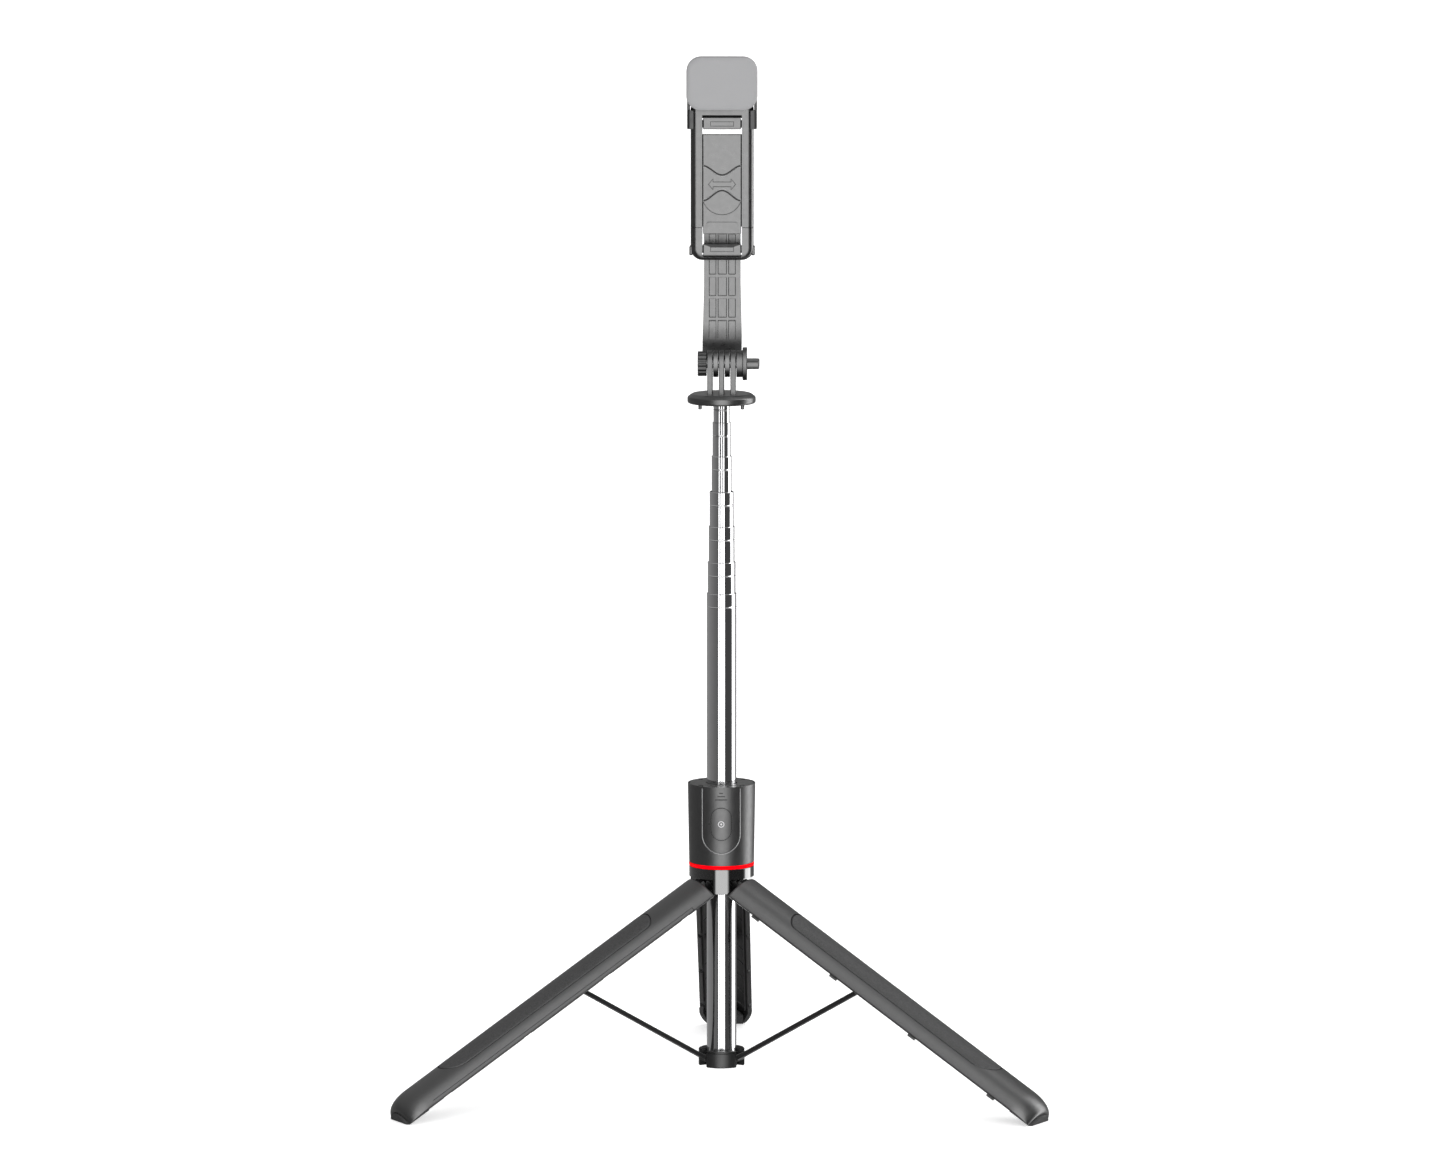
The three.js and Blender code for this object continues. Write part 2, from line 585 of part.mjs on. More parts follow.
// ---------------------------------------------------------------- holder arm and swivel
// The arm's side outline in (y, z): a straight bar that bends forwards through a quarter circle.
function armOutline() {
  const { thickness, bendRadius, bendY, start } = ARM;
  const centre = TILT.height + bendRadius;
  const [inner, outer] = [bendRadius - thickness / 2, bendRadius + thickness / 2];
  const startAngle = (radius) => Math.asin((start - bendY) / radius) - Math.PI / 2;
  const shape = new THREE.Shape();
  shape.absarc(bendY, centre, outer, startAngle(outer), 0);
  shape.lineTo(bendY + outer, SWIVEL.height + ARM.halfWidth);
  shape.lineTo(bendY + inner, SWIVEL.height + ARM.halfWidth);
  shape.absarc(bendY, centre, inner, 0, startAngle(inner), true);
  return shape;
}

// Its front outline in (x, z): a round top, parallel sides and a slight flare at the base.
function armFrontOutline() {
  const { halfWidth, baseHalfWidth } = ARM;
  const shape = new THREE.Shape();
  shape.moveTo(-baseHalfWidth, 390);
  shape.lineTo(baseHalfWidth, 390);
  shape.lineTo(baseHalfWidth, 412);
  shape.lineTo(halfWidth, 440);
  shape.absarc(0, SWIVEL.height, halfWidth, 0, Math.PI);
  shape.lineTo(-halfWidth, 440);
  shape.lineTo(-baseHalfWidth, 412);
  return shape;
}

function fingerOutline() {
  const z = TILT.height;
  const shape = new THREE.Shape();
  shape.moveTo(0, z + TILT.radius);
  shape.absarc(0, z, TILT.radius, Math.PI / 2, 1.5 * Math.PI);
  shape.lineTo(ARM.start + 3, z - 0.5);
  shape.lineTo(ARM.start + 3, z + 4.4);
  return shape;
}

function holderArm() {
  const half = FINGER.width / 2;
  const front = ARM.bendY + ARM.bendRadius - ARM.thickness / 2;
  const columns = [[-7.3, -3.3], [-2.45, 2.45], [3.3, 7.3]];
  const [rowPitch, rowHeight, firstRow, rows, pocketDepth] = [11.8, 10.4, 422, 4, 1.6];
  const bar = common(
    slab(armOutline(), 'x', [-ARM.baseHalfWidth, ARM.baseHalfWidth], 6),
    slab(armFrontOutline(), 'y', [0, 50], 5),
  );
  let arm = join(bar, ...FINGER.places.map((x) => slab(fingerOutline(), 'x', [x - half, x + half], 5)));
  // The lowest row of pockets follows the bend.
  const bendCentre = TILT.height + ARM.bendRadius;
  const surface = ARM.bendRadius - ARM.thickness / 2;
  const bendPocket = new THREE.Shape();
  bendPocket.absarc(ARM.bendY, bendCentre, surface + pocketDepth, radians(-43.5), radians(-16.8));
  bendPocket.absarc(ARM.bendY, bendCentre, surface - 3, radians(-16.8), radians(-43.5), true);
  for (const column of columns) {
    arm = cut(arm, slab(bendPocket, 'x', column, 4));
    for (let row = 0; row < rows; row += 1) {
      const z = firstRow + row * rowPitch;
      arm = cut(arm, box(column, [front - 4, front + pocketDepth], [z, z + rowHeight]));
    }
  }
  const holes = [
    rodX(TILT.hole, [-6, 6], 0, TILT.height, 12),
    rodY(SWIVEL.hole, [20, 45], 0, SWIVEL.height, 12),
  ];
  return mesh('holder_arm', cut(arm, ...holes), FINISHES.clampPlastic);
}

function swivelParts() {
  const back = ARM.bendY + ARM.bendRadius + ARM.thickness / 2;
  const disc = cut(
    rodY(SWIVEL.disc, SWIVEL.discSpan, 0, SWIVEL.height, 24),
    rodY(SWIVEL.hole, [20, 40], 0, SWIVEL.height, 12),
  );
  const screw = join(
    rodY(SWIVEL.screw, [SWIVEL.screwTip, back + 1], 0, SWIVEL.height, 12),
    rodY(SWIVEL.headRadius, [back + GAP, back + 2.3], 0, SWIVEL.height, 20),
  );
  return [mesh('swivel_disc', disc, FINISHES.blackPlastic), mesh('swivel_screw', screw, FINISHES.steel)];
}

// ---------------------------------------------------------------- phone clamp
const bothSides = (make) => [make(-1), make(1)];
const sided = (side, [near, far]) => (side > 0 ? [near, far] : [-far, -near]);
const CHANNEL = { x: [12, 15.9], y: [22.2, 28.3], top: 513 };
const ROD = { x: [12.3, 15.6], y: [22.5, 25], top: 508 };
const SPRING = { x: 13.95, y: 26.75, radius: 1.0, wire: 0.22, turns: 8, top: 512.4 };

function clampFrame() {
  const { front, back, halfWidth, windowHalfWidth, top, split, windowTop } = CLAMP;
  const bottom = split + 0.15;
  const outer = cut(
    slab(roundedRectangle([-halfWidth, halfWidth], [bottom - 10, top], 6), 'y', [front, back]),
    box([-30, 30], [0, 50], [bottom - 20, bottom]),
    box([-windowHalfWidth, windowHalfWidth], [0, 50], [bottom - 1, windowTop]),
  );
  const centre = box([-windowHalfWidth - 1, windowHalfWidth + 1], [COVER.back + GAP, 28.2], [bottom, 522.8]);
  const jawBacking = box([-windowHalfWidth - 1, windowHalfWidth + 1], [24.2, 28.2], [526.5, windowTop + 1]);
  const channels = bothSides((side) => box(sided(side, CHANNEL.x), CHANNEL.y, [bottom - 1, CHANNEL.top]));
  const holes = [
    rodY(SWIVEL.hole, [0, 50], 0, SWIVEL.height, 12),
    rodX(PIN_HOLE, [-13, 13], JAW.pinY, JAW.upperPin, 12),
  ];
  const frame = cut(join(outer, centre, jawBacking), ...channels, ...holes);
  return mesh('clamp_frame', frame, FINISHES.clampPlastic);
}

function clampSlider() {
  const { front, back, halfWidth, windowHalfWidth, bottom, split } = CLAMP;
  const top = split - 0.15;
  const outer = cut(
    slab(roundedRectangle([-halfWidth, halfWidth], [bottom, top + 20], 6.5), 'y', [front, back]),
    box([-30, 30], [0, 50], [top, top + 30]),
    box([-windowHalfWidth, windowHalfWidth], [0, 50], [bottom + 1.2, top + 1]),
  );
  const backBar = box([-windowHalfWidth - 1, windowHalfWidth + 1], [24.5, back], [bottom, 461.8]);
  const rods = bothSides((side) => box(sided(side, ROD.x), ROD.y, [top - 1, ROD.top]));
  const bulges = bothSides((side) => box(sided(side, [16, 17.9]), [21, 29], [457, 462]));
  const slider = cut(
    join(outer, backBar, ...rods, ...bulges),
    rodX(PIN_HOLE, [-13, 13], JAW.pinY, JAW.lowerPin, 12),
  );
  return mesh('clamp_slider', slider, FINISHES.clampPlastic);
}

const clampCover = () =>
  mesh(
    'clamp_cover',
    box([-COVER.halfWidth, COVER.halfWidth], [COVER.front, COVER.back], [COVER.bottom, COVER.top]),
    FINISHES.clampPlastic,
  );

// A folding jaw: a flap whose round edge turns on a pin. `direction` says which way the flap points.
function jaw(name, pinHeight, direction) {
  const across = [-JAW.halfWidth, JAW.halfWidth];
  const flap = [pinHeight, pinHeight + direction * JAW.free].sort((p, q) => p - q);
  const solid = join(
    box(across, [JAW.pinY - JAW.half, JAW.pinY + JAW.half], flap),
    rodX(JAW.half, across, JAW.pinY, pinHeight, 16),
  );
  return [
    mesh(name, cut(solid, rodX(PIN_HOLE, [-11, 11], JAW.pinY, pinHeight, 12)), FINISHES.clampPlastic),
    mesh(`${name}_pin`, rodX(PIN_RADIUS, [-12.6, 12.6], JAW.pinY, pinHeight, 12), FINISHES.steel),
  ];
}

function clampSpring() {
  const bottom = CLAMP.split + 0.3;
  class Helix extends THREE.Curve {
    getPoint(t, target = new THREE.Vector3()) {
      const angle = t * SPRING.turns * 2 * Math.PI;
      const z = bottom + SPRING.wire + t * (SPRING.top - bottom - 2 * SPRING.wire);
      const [c, s] = [SPRING.radius * Math.cos(angle), SPRING.radius * Math.sin(angle)];
      return target.set(SPRING.x + c, SPRING.y + s, z);
    }
  }
  const section = polygon([[SPRING.wire, 0], [0, SPRING.wire], [-SPRING.wire, 0], [0, -SPRING.wire]]);
  const options = { steps: SPRING.turns * 7, extrudePath: new Helix() };
  return mesh('clamp_spring', toSolid(new THREE.ExtrudeGeometry(section, options)), FINISHES.steel);
}

// ---------------------------------------------------------------- fill light
function lightParts() {
  const { halfWidth, bottom, top, corner, front, joint, back } = LIGHT;
  const outline = (inset) =>
    roundedRectangle(
      [-halfWidth + inset, halfWidth - inset],
      [bottom + inset, top - inset],
      corner - Math.min(inset, corner - 2),
    );
  const shellWall = 1.4;
  const buttonHeight = top - 5;
  const housing = cut(
    slab(outline(0), 'y', [joint + 0.1, back]),
    slab(outline(shellWall), 'y', [joint - 1, back - 1.4]),
    rodY(2.5, [back - 3, back + 1], 0, buttonHeight, 12),
  );
  const dome = join(
    slab(outline(0), 'y', [joint - 2.3, joint - 0.1]),
    slab(outline(1.2), 'y', [joint - 3.3, joint - 2]),
    slab(outline(3), 'y', [front, joint - 3]),
  );
  const diffuser = cut(dome, slab(outline(4), 'y', [front + 1.4, joint]));
  const z = [CLAMP.top + GAP, CLAMP.top + GAP + CLIP.thickness];
  const y = [CLAMP.front + 0.1, CLIP.back];
  const ear = [CLAMP.halfWidth + GAP, CLIP.outer];
  const lip = [CLAMP.front - 1.6, CLAMP.front - GAP];
  const lipHeight = [CLIP.earBottom, bottom - GAP];
  const clip = join(
    box([-CLIP.outer, CLIP.outer], y, z),
    box([-CLIP.tongueHalf, CLIP.tongueHalf], [y[0], y[0] + 1.9], [z[0], CLIP.tongueTop]),
    ...bothSides((side) => box(sided(side, ear), y, [lipHeight[0], z[1]])),
    ...bothSides((side) => box(sided(side, ear), [lip[0], y[1]], lipHeight)),
    ...bothSides((side) => box(sided(side, [CLIP.lipInner, ear[1]]), lip, lipHeight)),
  );
  return [
    mesh('light_housing', housing, FINISHES.clampPlastic),
    mesh('light_diffuser', diffuser, FINISHES.diffuser),
    mesh('light_board', box([-16, 16], [15.4, 16.4], [bottom + 3.5, top - 3.5]), FINISHES.board),
    mesh('light_clip', clip, FINISHES.blackPlastic),
    mesh('light_button', rodY(2.2, [17, 19.7], 0, buttonHeight, 12), FINISHES.blackPlastic),
  ];
}

// ---------------------------------------------------------------- assembly
const stick = new THREE.Group();
stick.name = 'tripod_selfie_stick';
stick.add(
  ...POLE.radii.map((_, index) => poleTube(index)),
  poleCollar(),
  legHub(),
  redRing(),
  ...LEG_AZIMUTHS.map((azimuth, index) => leg(index + 1, azimuth)),
  handleHousing(),
  handleCap(),
  poleGuide(),
  ...remoteParts(),
  headPlate(),
  tiltScrew(),
  tiltNut(),
  tiltKnob(),
  holderArm(),
  ...swivelParts(),
  clampFrame(),
  clampSlider(),
  clampCover(),
  ...jaw('upper_jaw', JAW.upperPin, -1),
  ...jaw('lower_jaw', JAW.lowerPin, 1),
  clampSpring(),
  ...lightParts(),
);

const reach = new THREE.Box3().setFromObject(stick, true);
const middle = reach.getCenter(new THREE.Vector3());
stick.position.set(-middle.x, -middle.y, -reach.min.z);

export default stick;
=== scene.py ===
import json
import math
from contextlib import contextmanager

import bmesh
import bpy
from mathutils import Matrix, Vector

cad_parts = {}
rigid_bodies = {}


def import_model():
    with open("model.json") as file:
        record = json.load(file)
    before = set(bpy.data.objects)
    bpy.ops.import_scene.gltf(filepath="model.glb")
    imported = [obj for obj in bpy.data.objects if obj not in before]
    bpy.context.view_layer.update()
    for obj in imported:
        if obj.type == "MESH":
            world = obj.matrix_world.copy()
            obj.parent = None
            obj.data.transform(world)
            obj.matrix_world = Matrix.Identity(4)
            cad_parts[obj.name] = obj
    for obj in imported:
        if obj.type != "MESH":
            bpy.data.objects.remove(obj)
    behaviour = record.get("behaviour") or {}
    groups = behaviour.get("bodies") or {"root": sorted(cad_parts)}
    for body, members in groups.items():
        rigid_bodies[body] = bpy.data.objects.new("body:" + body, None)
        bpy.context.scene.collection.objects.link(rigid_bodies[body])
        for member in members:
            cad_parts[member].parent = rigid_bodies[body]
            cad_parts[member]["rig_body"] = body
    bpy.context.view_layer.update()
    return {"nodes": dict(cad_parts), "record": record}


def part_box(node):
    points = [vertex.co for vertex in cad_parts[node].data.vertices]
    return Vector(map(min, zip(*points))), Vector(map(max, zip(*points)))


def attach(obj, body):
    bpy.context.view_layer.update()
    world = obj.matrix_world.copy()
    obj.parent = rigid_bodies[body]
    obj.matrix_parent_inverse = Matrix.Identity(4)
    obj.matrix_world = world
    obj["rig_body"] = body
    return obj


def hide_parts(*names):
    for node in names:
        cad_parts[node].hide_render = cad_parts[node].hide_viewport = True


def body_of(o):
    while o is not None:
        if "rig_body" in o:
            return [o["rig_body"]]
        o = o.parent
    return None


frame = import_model()
SLOTS = {part["node"]: part["material_slot"] for part in frame["record"]["subparts"]}

# Pieces are made in millimetres about the pole's axis and moved into the row's frame when they are placed.
MM = 0.001
# Bore radii: for steel pins, for the tilt bolt and for the swivel screw.
PIN_BORE, BOLT_BORE, SCREW_BORE = 1.3, 2.7, 2.3
_ring_low, _ring_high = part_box("red_ring")
AXIS = Vector(((_ring_low.x + _ring_high.x) / 2, (_ring_low.y + _ring_high.y) / 2, 0))
TO_FRAME = Matrix.Translation(AXIS) @ Matrix.Scale(MM, 4)
FROM_FRAME = TO_FRAME.inverted()


def box_of(node):
    """A CAD node's lowest and highest corners in millimetres about the pole's axis."""
    low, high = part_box(node)
    return FROM_FRAME @ Vector(low), FROM_FRAME @ Vector(high)


# ---------- outlines
def arc(centre, radius, start, end, steps):
    """Points on a circle from start to end, in degrees."""
    points = []
    for i in range(steps + 1):
        angle = math.radians(start + (end - start) * i / steps)
        points.append((centre[0] + radius * math.cos(angle), centre[1] + radius * math.sin(angle)))
    return points


def circle(centre, radius, sides):
    return arc(centre, radius, 0, 360 - 360 / sides, sides - 1)


def rounded_rectangle(u, v, radius, steps=6):
    """Counter-clockwise outline of a rectangle with round corners."""
    points = []
    corners = ((u[1], v[0], -90), (u[1], v[1], 0), (u[0], v[1], 90), (u[0], v[0], 180))
    for (cu, cv, start) in corners:
        inward_u = -radius if cu == u[1] else radius
        inward_v = -radius if cv == v[1] else radius
        points += arc((cu + inward_u, cv + inward_v), radius, start, start + 90, steps)
    return points


def tongue(half_width, bottom, top, steps=28):
    """Straight sides, open top and half-round bottom, counter-clockwise."""
    bow = arc((0, bottom + half_width), half_width, 180, 360, steps)
    return [(half_width, top), (-half_width, top)] + bow


def rounded(points, radii, steps=3):
    """A closed polygon with its corners rounded; a radius of 0 keeps a corner sharp."""
    result = []
    count = len(points)
    for i, (point, radius) in enumerate(zip(points, radii)):
        if radius <= 0:
            result.append(tuple(point))
            continue
        here = Vector(point)
        back = Vector(points[i - 1]) - here
        ahead = Vector(points[(i + 1) % count]) - here
        reach = min(radius, back.length / 2, ahead.length / 2)
        first = here + back.normalized() * reach
        last = here + ahead.normalized() * reach
        for k in range(steps + 1):
            t = k / steps
            spot = first * (1 - t) ** 2 + here * 2 * t * (1 - t) + last * t ** 2
            result.append((spot.x, spot.y))
    return result


def offset(outline, distance):
    """The outline moved inwards by a distance, corner by corner; it runs counter-clockwise."""
    moved = []
    count = len(outline)
    for i in range(count):
        here = Vector(outline[i])
        back = here - Vector(outline[i - 1])
        ahead = Vector(outline[(i + 1) % count]) - here
        if back.length < 1e-7 or ahead.length < 1e-7:
            moved.append(tuple(here))
            continue
        n1 = Vector((-back.y, back.x)).normalized()
        n2 = Vector((-ahead.y, ahead.x)).normalized()
        miter = (n1 + n2) / max(0.4, 1 + n1.dot(n2))
        moved.append(tuple(here + miter * distance))
    return moved


def without_repeats(outline):
    kept = [outline[0]]
    for point in outline[1:]:
        if (Vector(point) - Vector(kept[-1])).length > 1e-4:
            kept.append(point)
    if (Vector(kept[0]) - Vector(kept[-1])).length < 1e-4:
        kept.pop()
    return kept


# ---------- solids
@contextmanager
def edited(mesh):
    """Opens a mesh for editing and writes it back."""
    bm = bmesh.new()
    bm.from_mesh(mesh)
    yield bm
    bm.to_mesh(mesh)
    bm.free()


def make_object(name, vertices, faces):
    """A mesh object in millimetres with merged corners and outward faces."""
    mesh = bpy.data.meshes.new(name)
    mesh.from_pydata([tuple(v) for v in vertices], [], faces)
    with edited(mesh) as bm:
        bmesh.ops.remove_doubles(bm, verts=bm.verts, dist=2e-4)
        bmesh.ops.dissolve_degenerate(bm, edges=bm.edges, dist=1e-5)
        bmesh.ops.recalc_face_normals(bm, faces=bm.faces)
    obj = bpy.data.objects.new(name, mesh)
    bpy.context.collection.objects.link(obj)
    return obj


def skin(rings, loop=False, name="solid"):
    """A closed solid through rings of equal length: capped at both ends, or joined end to end."""
    count = len(rings[0])
    vertices = [point for ring in rings for point in ring]
    faces = []
    last = len(rings) if loop else len(rings) - 1
    for r in range(last):
        a, b = r * count, ((r + 1) % len(rings)) * count
        for i in range(count):
            j = (i + 1) % count
            faces.append((a + i, a + j, b + j, b + i))
    if not loop:
        faces.append(tuple(range(count - 1, -1, -1)))
        faces.append(tuple(range((len(rings) - 1) * count, len(rings) * count)))
    return make_object(name, vertices, faces)


AXES = {
    "x": lambda u, v, w: (w, u, v),  # the outline holds (y, z)
    "y": lambda u, v, w: (u, w, v),  # the outline holds (x, z)
    "z": lambda u, v, w: (u, v, w),  # the outline holds (x, y)
}


def prism(outline, axis, span, edge=0.0, steps=3):
    """An outline pushed along an axis, with its two end edges rounded by `edge`."""
    outline = without_repeats(outline)
    lo, hi = sorted(span)
    levels = [(lo, 0.0), (hi, 0.0)]
    if edge > 0:
        levels = []
        for k in range(steps + 1):
            angle = math.pi / 2 * k / steps
            levels.append((lo + edge * (1 - math.sin(angle)), edge * (1 - math.cos(angle))))
        levels.reverse()
        levels += [(lo + hi - level, inset) for (level, inset) in reversed(levels)]
    to_space = AXES[axis]
    rings = []
    for (level, inset) in levels:
        shape = offset(outline, inset) if inset else outline
        rings.append([to_space(u, v, level) for (u, v) in shape])
    return skin(rings)


def box(x, y, z, edge=0.0):
    """A box, with all its edges rounded if an edge radius is given."""
    if edge > 0:
        return prism(rounded_rectangle(x, z, edge, 3), "y", y, edge)
    return prism([(x[0], z[0]), (x[1], z[0]), (x[1], z[1]), (x[0], z[1])], "y", y)


def rod(axis, radius, span, a=0.0, b=0.0, sides=64, edge=0.0):
    """A cylinder along an axis through (a, b) in the outline's plane."""
    return prism(circle((a, b), radius, sides), axis, span, edge)


def lathe(profile, sides=144):
    """A closed outline of (radius, height) points turned about the pole's axis."""
    rings = []
    for i in range(sides):
        angle = 2 * math.pi * i / sides
        c, s = math.cos(angle), math.sin(angle)
        rings.append([(r * c, r * s, z) for (r, z) in profile])
    return skin(rings, loop=True)


def ring_tube(inner, outer, z0, z1, sides=144, edge=0.0):
    corners = [(inner, z0), (outer, z0), (outer, z1), (inner, z1)]
    return lathe(rounded(corners, [edge] * 4), sides)


def wedge(half_angle, z):
    """A sector about the pole's axis, centred on +X and reaching past every part."""
    return prism([(0, 0)] + arc((0, 0), 60.0, -half_angle, half_angle, 6), "z", z)


def turn(obj, degrees):
    obj.data.transform(Matrix.Rotation(math.radians(degrees), 4, "Z"))
    return obj


def apply_modifiers(obj):
    depsgraph = bpy.context.evaluated_depsgraph_get()
    mesh = bpy.data.meshes.new_from_object(obj.evaluated_get(depsgraph))
    obj.modifiers.clear()
    old = obj.data
    obj.data = mesh
    bpy.data.meshes.remove(old)
    return obj


def combine(operation, first, others):
    for other in others:
        modifier = first.modifiers.new("combine", "BOOLEAN")
        modifier.operation = operation
        modifier.solver = "MANIFOLD"
        modifier.object = other
    apply_modifiers(first)
    for other in others:
        mesh = other.data
        bpy.data.objects.remove(other)
        bpy.data.meshes.remove(mesh)
    return first


def join(first, *others):
    return combine("UNION", first, others)


def cut(first, *others):
    return combine("DIFFERENCE", first, others)


def common(first, *others):
    return combine("INTERSECT", first, others)


def copy_of(obj):
    twin = bpy.data.objects.new(obj.name, obj.data.copy())
    bpy.context.collection.objects.link(twin)
    return twin


def shade(obj, angle=34):
    """Smooth shading with the edges sharper than an angle kept."""
    with edited(obj.data) as bm:
        bmesh.ops.remove_doubles(bm, verts=bm.verts, dist=5e-4)
        bmesh.ops.dissolve_degenerate(bm, edges=bm.edges, dist=2e-4)
        bmesh.ops.triangulate(bm, faces=[face for face in bm.faces if len(face.verts) > 4])
        for face in bm.faces:
            face.smooth = True
        for edge in bm.edges:
            edge.smooth = len(edge.link_faces) == 2 and edge.calc_face_angle(math.pi) < math.radians(angle)
    modifier = obj.modifiers.new("normals", "WEIGHTED_NORMAL")
    modifier.keep_sharp = True
    return apply_modifiers(obj)


def place(obj, node, material, name=None, stands_for=True, angle=34):
    """Shades a piece, moves it into the row's frame and lets it ride on the body of a CAD node."""
    shade(obj, angle)
    obj.data.transform(TO_FRAME)
    obj.name = name or f"v_{node}"
    obj.data.name = obj.name
    if len(obj.data.materials):
        obj.data.materials[0] = material
    else:
        obj.data.materials.append(material)
    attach(obj, body_of(frame["nodes"][node])[0])
    if stands_for:
        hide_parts(node)
    return obj


def paint_shade(obj, inside, space=FROM_FRAME):
    """Paints shade: gives the faces that a mask picks in a piece's engraved lines and recesses the
    near-black material, judged in millimetres.
    """
    while len(obj.data.materials) < 2:
        obj.data.materials.append(PAINTED_SHADE_AND_DARK_MARKS)
    for face in obj.data.polygons:
        face.material_index = int(inside(space @ face.center))


def follow(points, radius, sides=10):
    """A thin round bead along an open path of points."""
    rings = []
    for i, point in enumerate(points):
        before = points[max(0, i - 1)]
        after = points[min(len(points) - 1, i + 1)]
        along = (Vector(after) - Vector(before)).normalized()
        side = along.cross(Vector((0, 1, 0))).normalized()
        up = side.cross(along).normalized()
        ring = []
        for k in range(sides):
            angle = 2 * math.pi * k / sides
            ring.append(Vector(point) + (side * math.cos(angle) + up * math.sin(angle)) * radius)
        rings.append(ring)
    return skin(rings)


# ---------- materials
def preset(node, **values):
    """Sets a node's inputs; a space in an input's name is written as an underscore."""
    for key, value in values.items():
        node.inputs[key.replace("_", " ")].default_value = value


class Nodes:
    """A small helper for building one material's nodes."""

    def __init__(self, name):
        self.material = bpy.data.materials.new(name)
        self.material.use_nodes = True
        self.tree = self.material.node_tree
        self.shader = self.tree.nodes["Principled BSDF"]
        self.place = self.add("ShaderNodeTexCoord").outputs["Object"]

    def add(self, kind, **settings):
        node = self.tree.nodes.new(kind)
        for key, value in settings.items():
            setattr(node, key, value)
        return node

    def link(self, start, end):
        self.tree.links.new(start, end)

    def drive(self, source, socket):
        """Feeds one of the main shader's sockets."""
        self.link(source, self.shader.inputs[socket])

    def noise(self, size_mm, detail=3.0, stretch=None):
        """Noise whose features are about size_mm across."""
        node = self.add("ShaderNodeTexNoise")
        preset(node, Scale=1 / (size_mm * MM), Detail=detail)
        source = self.place
        if stretch:
            mapping = self.add("ShaderNodeMapping")
            preset(mapping, Scale=stretch)
            self.link(self.place, mapping.inputs["Vector"])
            source = mapping.outputs["Vector"]
        self.link(source, node.inputs["Vector"])
        return node.outputs["Fac"]

    def spread(self, value, low, high):
        """A number between low and high, driven by noise."""
        node = self.add("ShaderNodeMapRange")
        preset(node, From_Min=0.35, From_Max=0.65, To_Min=low, To_Max=high)
        self.link(value, node.inputs["Value"])
        return node.outputs["Result"]

    def tint(self, value, low, high):
        """A colour between two greys or colours, driven by a value between 0 and 1."""
        ramp = self.add("ShaderNodeValToRGB")
        ramp.color_ramp.elements[0].position = 0.3
        ramp.color_ramp.elements[1].position = 0.7
        ramp.color_ramp.elements[0].color = (*low, 1)
        ramp.color_ramp.elements[1].color = (*high, 1)
        self.link(value, ramp.inputs["Fac"])
        return ramp.outputs["Color"]

    def bump(self, height, depth_mm, strength=1.0):
        node = self.add("ShaderNodeBump")
        preset(node, Distance=depth_mm * MM, Strength=strength)
        self.link(height, node.inputs["Height"])
        self.drive(node.outputs["Normal"], "Normal")


def moulded(name, grey, roughness, grain_mm=0.35, grain_depth=0.012, ior=1.5, coat=0.0, uneven=0.08):
    """Moulded plastic with a fine spark-eroded grain and slightly uneven sheen."""
    nodes = Nodes(name)
    low, high = [(grey * share,) * 2 + (grey * share * 1.02,) for share in (1 - uneven, 1 + uneven)]
    nodes.drive(nodes.tint(nodes.noise(9.0), low, high), "Base Color")
    sheen = nodes.spread(nodes.noise(3.0), roughness - 0.03, roughness + 0.03)
    nodes.drive(sheen, "Roughness")
    preset(nodes.shader, IOR=ior, Coat_Weight=coat, Coat_Roughness=0.06)
    nodes.bump(nodes.noise(grain_mm, 4.0), grain_depth)
    return nodes.material


def metal(name, grey, roughness, stretch, depth=0.002):
    """Drawn or turned metal, with faint marks along its length."""
    nodes = Nodes(name)
    low = (grey * 0.96, grey * 0.96, grey * 0.97)
    high = (grey, grey, grey * 1.01)
    nodes.drive(nodes.tint(nodes.noise(4.0), low, high), "Base Color")
    preset(nodes.shader, Metallic=1.0)
    drawn = nodes.noise(0.5, 3.0, stretch)
    nodes.drive(nodes.spread(drawn, roughness * 0.7, roughness * 1.4), "Roughness")
    nodes.bump(drawn, depth, 0.6)
    return nodes.material


def stippled(name, grey, roughness, dot_mm, depth):
    """A soft grip moulded with close, shallow dimples."""
    nodes = Nodes(name)
    cells = nodes.add("ShaderNodeTexVoronoi")
    preset(cells, Scale=1 / (dot_mm * MM))
    nodes.link(nodes.place, cells.inputs["Vector"])
    heights = cells.outputs["Distance"]
    low = (grey * 1.35, grey * 1.35, grey * 1.37)
    high = (grey * 0.7, grey * 0.7, grey * 0.71)
    nodes.drive(nodes.tint(heights, low, high), "Base Color")
    sheen = nodes.spread(nodes.noise(2.0), roughness - 0.04, roughness + 0.04)
    nodes.drive(sheen, "Roughness")
    nodes.bump(heights, depth, 1.0)
    return nodes.material


SATIN = moulded("satin_plastic", 0.012, 0.36, ior=1.8)
HOUSING = moulded("housing_plastic", 0.012, 0.4, ior=1.75)
CLAMP = moulded("clamp_plastic", 0.008, 0.3, ior=1.85)
JOINT = moulded("joint_plastic", 0.014, 0.33, ior=1.75)
BLACK = moulded("black_plastic", 0.008, 0.4, ior=1.5)
GLOSS = moulded("gloss_black", 0.004, 0.06, grain_mm=3.0, grain_depth=0.002, ior=1.9, coat=0.6)
RED = moulded("red_plastic_painted_glow", 0.0, 0.4)
RUBBER = moulded("foot_rubber", 0.02, 0.7, grain_mm=0.5, grain_depth=0.03)
GRIP = stippled("grip_rubber", 0.03, 0.48, 0.6, 0.06)
CHROME = metal("chrome_tube", 0.8, 0.07, (6, 6, 0.08))
STEEL = metal("steel_pin", 0.5, 0.3, (4, 4, 4))
DIFFUSER = moulded("light_diffuser", 0.25, 0.6, grain_mm=0.2, grain_depth=0.004, ior=1.4, uneven=0.01)
MARK = moulded("pale_mark", 0.42, 0.5)
